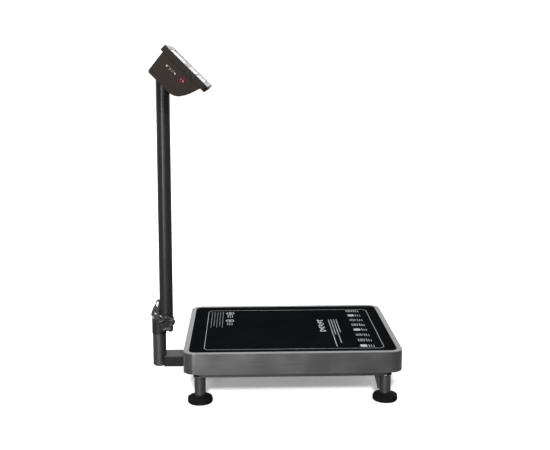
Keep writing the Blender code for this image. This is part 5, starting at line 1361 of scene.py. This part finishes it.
# ------------------------------------------------------------------------------- studio
@dataclass
class Studio:
    """White floor, soft lights and the camera."""

    camera_place: Point3 = (-0.0671, -2.096, 0.7603)
    camera_yaw: float = math.radians(2.098)
    camera_pitch: float = math.radians(7.623)
    focal: float = 873.4 / 550 * 36.0
    shift: float = -40 / 550
    floor_half: float = 14.0
    floor_bounce: Colour = (0.20, 0.20, 0.20)
    floor_glow: float = 0.20
    floor_seen: Colour = (0.88, 0.88, 0.88)
    world_seen: float = 1.15
    key_place: Point3 = (-0.15, -2.7, 1.80)
    key_power: float = 4.4
    key_angle: float = math.radians(8)
    soft_boxes: tuple[tuple[str, Point3, Point3, Point2, float], ...] = (
        ("front_strip", (-0.80, -2.9, 0.85), (-0.25, 0.0, 0.35), (0.34, 1.6), 20.0),
        ("low_strip", (-0.75, -2.8, 0.28), (0.0, 0.0, 0.06), (0.30, 0.5), 45.0),
        ("upper_left", (-2.2, -0.1, 2.9), (-0.2, 0.0, 0.7), (0.6, 1.6), 35.0))

    def build(self) -> None:
        """Build the studio."""
        self.set_camera()
        self.set_floor()
        self.set_world()
        self.lights()
        bpy.context.scene.view_settings.view_transform = "Standard"

    def set_camera(self) -> None:
        """Place the camera."""
        data = bpy.data.cameras.new("camera")
        data.lens = self.focal
        data.sensor_width = 36.0
        data.shift_y = self.shift
        data.clip_end = 60.0
        camera = bpy.data.objects.new("camera", data)
        camera.location = self.camera_place
        camera.rotation_euler = (math.radians(90) - self.camera_pitch, 0.0, -self.camera_yaw)
        bpy.context.scene.collection.objects.link(camera)
        bpy.context.scene.camera = camera

    def set_floor(self) -> None:
        """Lay the pale floor."""
        mesh = bpy.data.meshes.new("studio_floor")
        h = self.floor_half
        mesh.from_pydata([(-h, -h, 0), (h, -h, 0), (h, h, 0), (-h, h, 0)], [], [(0, 1, 2, 3)])
        floor = bpy.data.objects.new("studio_floor", mesh)
        floor.location.z = -0.0001
        bpy.context.scene.collection.objects.link(floor)
        material = bpy.data.materials.new("floor_white")
        material.use_nodes = True
        shader = material.node_tree.nodes["Principled BSDF"]
        tools = Shading(material.node_tree)
        seen = tools.node("ShaderNodeLightPath").outputs["Is Camera Ray"]
        tools.feed(tools.blend(seen, self.floor_bounce, self.floor_seen),
                   shader.inputs["Base Color"])
        shader.inputs["Emission Color"].default_value = (1.0, 1.0, 1.0, 1.0)
        tools.feed(tools.maths("MULTIPLY", seen, self.floor_glow),
                   shader.inputs["Emission Strength"])
        shader.inputs["Roughness"].default_value = 0.9
        shader.inputs["Specular IOR Level"].default_value = 0.0
        mesh.materials.append(material)

    def set_world(self) -> None:
        """Light the surroundings: white where seen, dimmer as a light."""
        world = bpy.data.worlds.new("studio")
        bpy.context.scene.world = world
        world.use_nodes = True
        tools = Shading(world.node_tree)
        back = world.node_tree.nodes["Background"]
        back.inputs["Color"].default_value = (1.0, 1.0, 1.0, 1.0)
        way = tools.node("ShaderNodeSeparateXYZ")
        tools.feed(tools.node("ShaderNodeTexCoord").outputs["Generated"], way.inputs["Vector"])
        depth = tools.span(way.outputs["Y"], -0.2, 0.6, 0.12, 1.50)
        height = tools.span(way.outputs["Z"], 0.2, 0.9, 0.0, 0.45)
        side = tools.span(way.outputs["X"], -0.9, 0.9, 1.2, 0.75)
        glow = tools.maths("MULTIPLY", tools.maths("ADD", depth, height), side)
        seen = tools.node("ShaderNodeLightPath").outputs["Is Camera Ray"]
        level = tools.node("ShaderNodeMix", data_type="FLOAT")
        tools.feed(seen, level.inputs[0])
        tools.feed(glow, level.inputs[2])
        tools.feed(self.world_seen, level.inputs[3])
        tools.feed(level.outputs[0], back.inputs["Strength"])

    def lights(self) -> None:
        """Set the key light and the soft boxes."""
        key = bpy.data.lights.new("key", "SUN")
        key.energy = self.key_power
        key.angle = self.key_angle
        self.aim("key", key, self.key_place, (0.0, 0.0, 0.0))
        for name, place, target, size, power in self.soft_boxes:
            data = bpy.data.lights.new(name, "AREA")
            data.shape = "RECTANGLE"
            data.size, data.size_y = size
            data.energy = power
            self.aim(name, data, place, target)

    def aim(self, name: str, data: bpy.types.Light, place: Point3, target: Point3) -> None:
        """Put a light at a place, turned to its target."""
        light = bpy.data.objects.new(name, data)
        light.location = place
        way = Vector(target) - Vector(place)
        light.rotation_euler = way.to_track_quat("-Z", "Y").to_euler()
        bpy.context.scene.collection.objects.link(light)


# ------------------------------------------------------------------------------- assembly
def shade_nodes() -> None:
    """Shade every CAD node smooth between its real edges."""
    for item in frame["nodes"].values():
        item.data.shade_smooth()
        item.data.set_sharp_from_angle(angle=math.radians(35))


def main() -> None:
    """Build the look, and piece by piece."""
    logging.basicConfig(level=logging.INFO, format="%(name)s: %(message)s")
    shade_nodes()
    Studio().build()
    Platform().build()
    Undercarriage().build()
    for number in range(1, 5):
        LevellingFoot(number).build()
    ColumnFoot().build()
    FoldJoint().build()
    Column().build()
    Console().build()


if __name__ == "__main__":
    main()
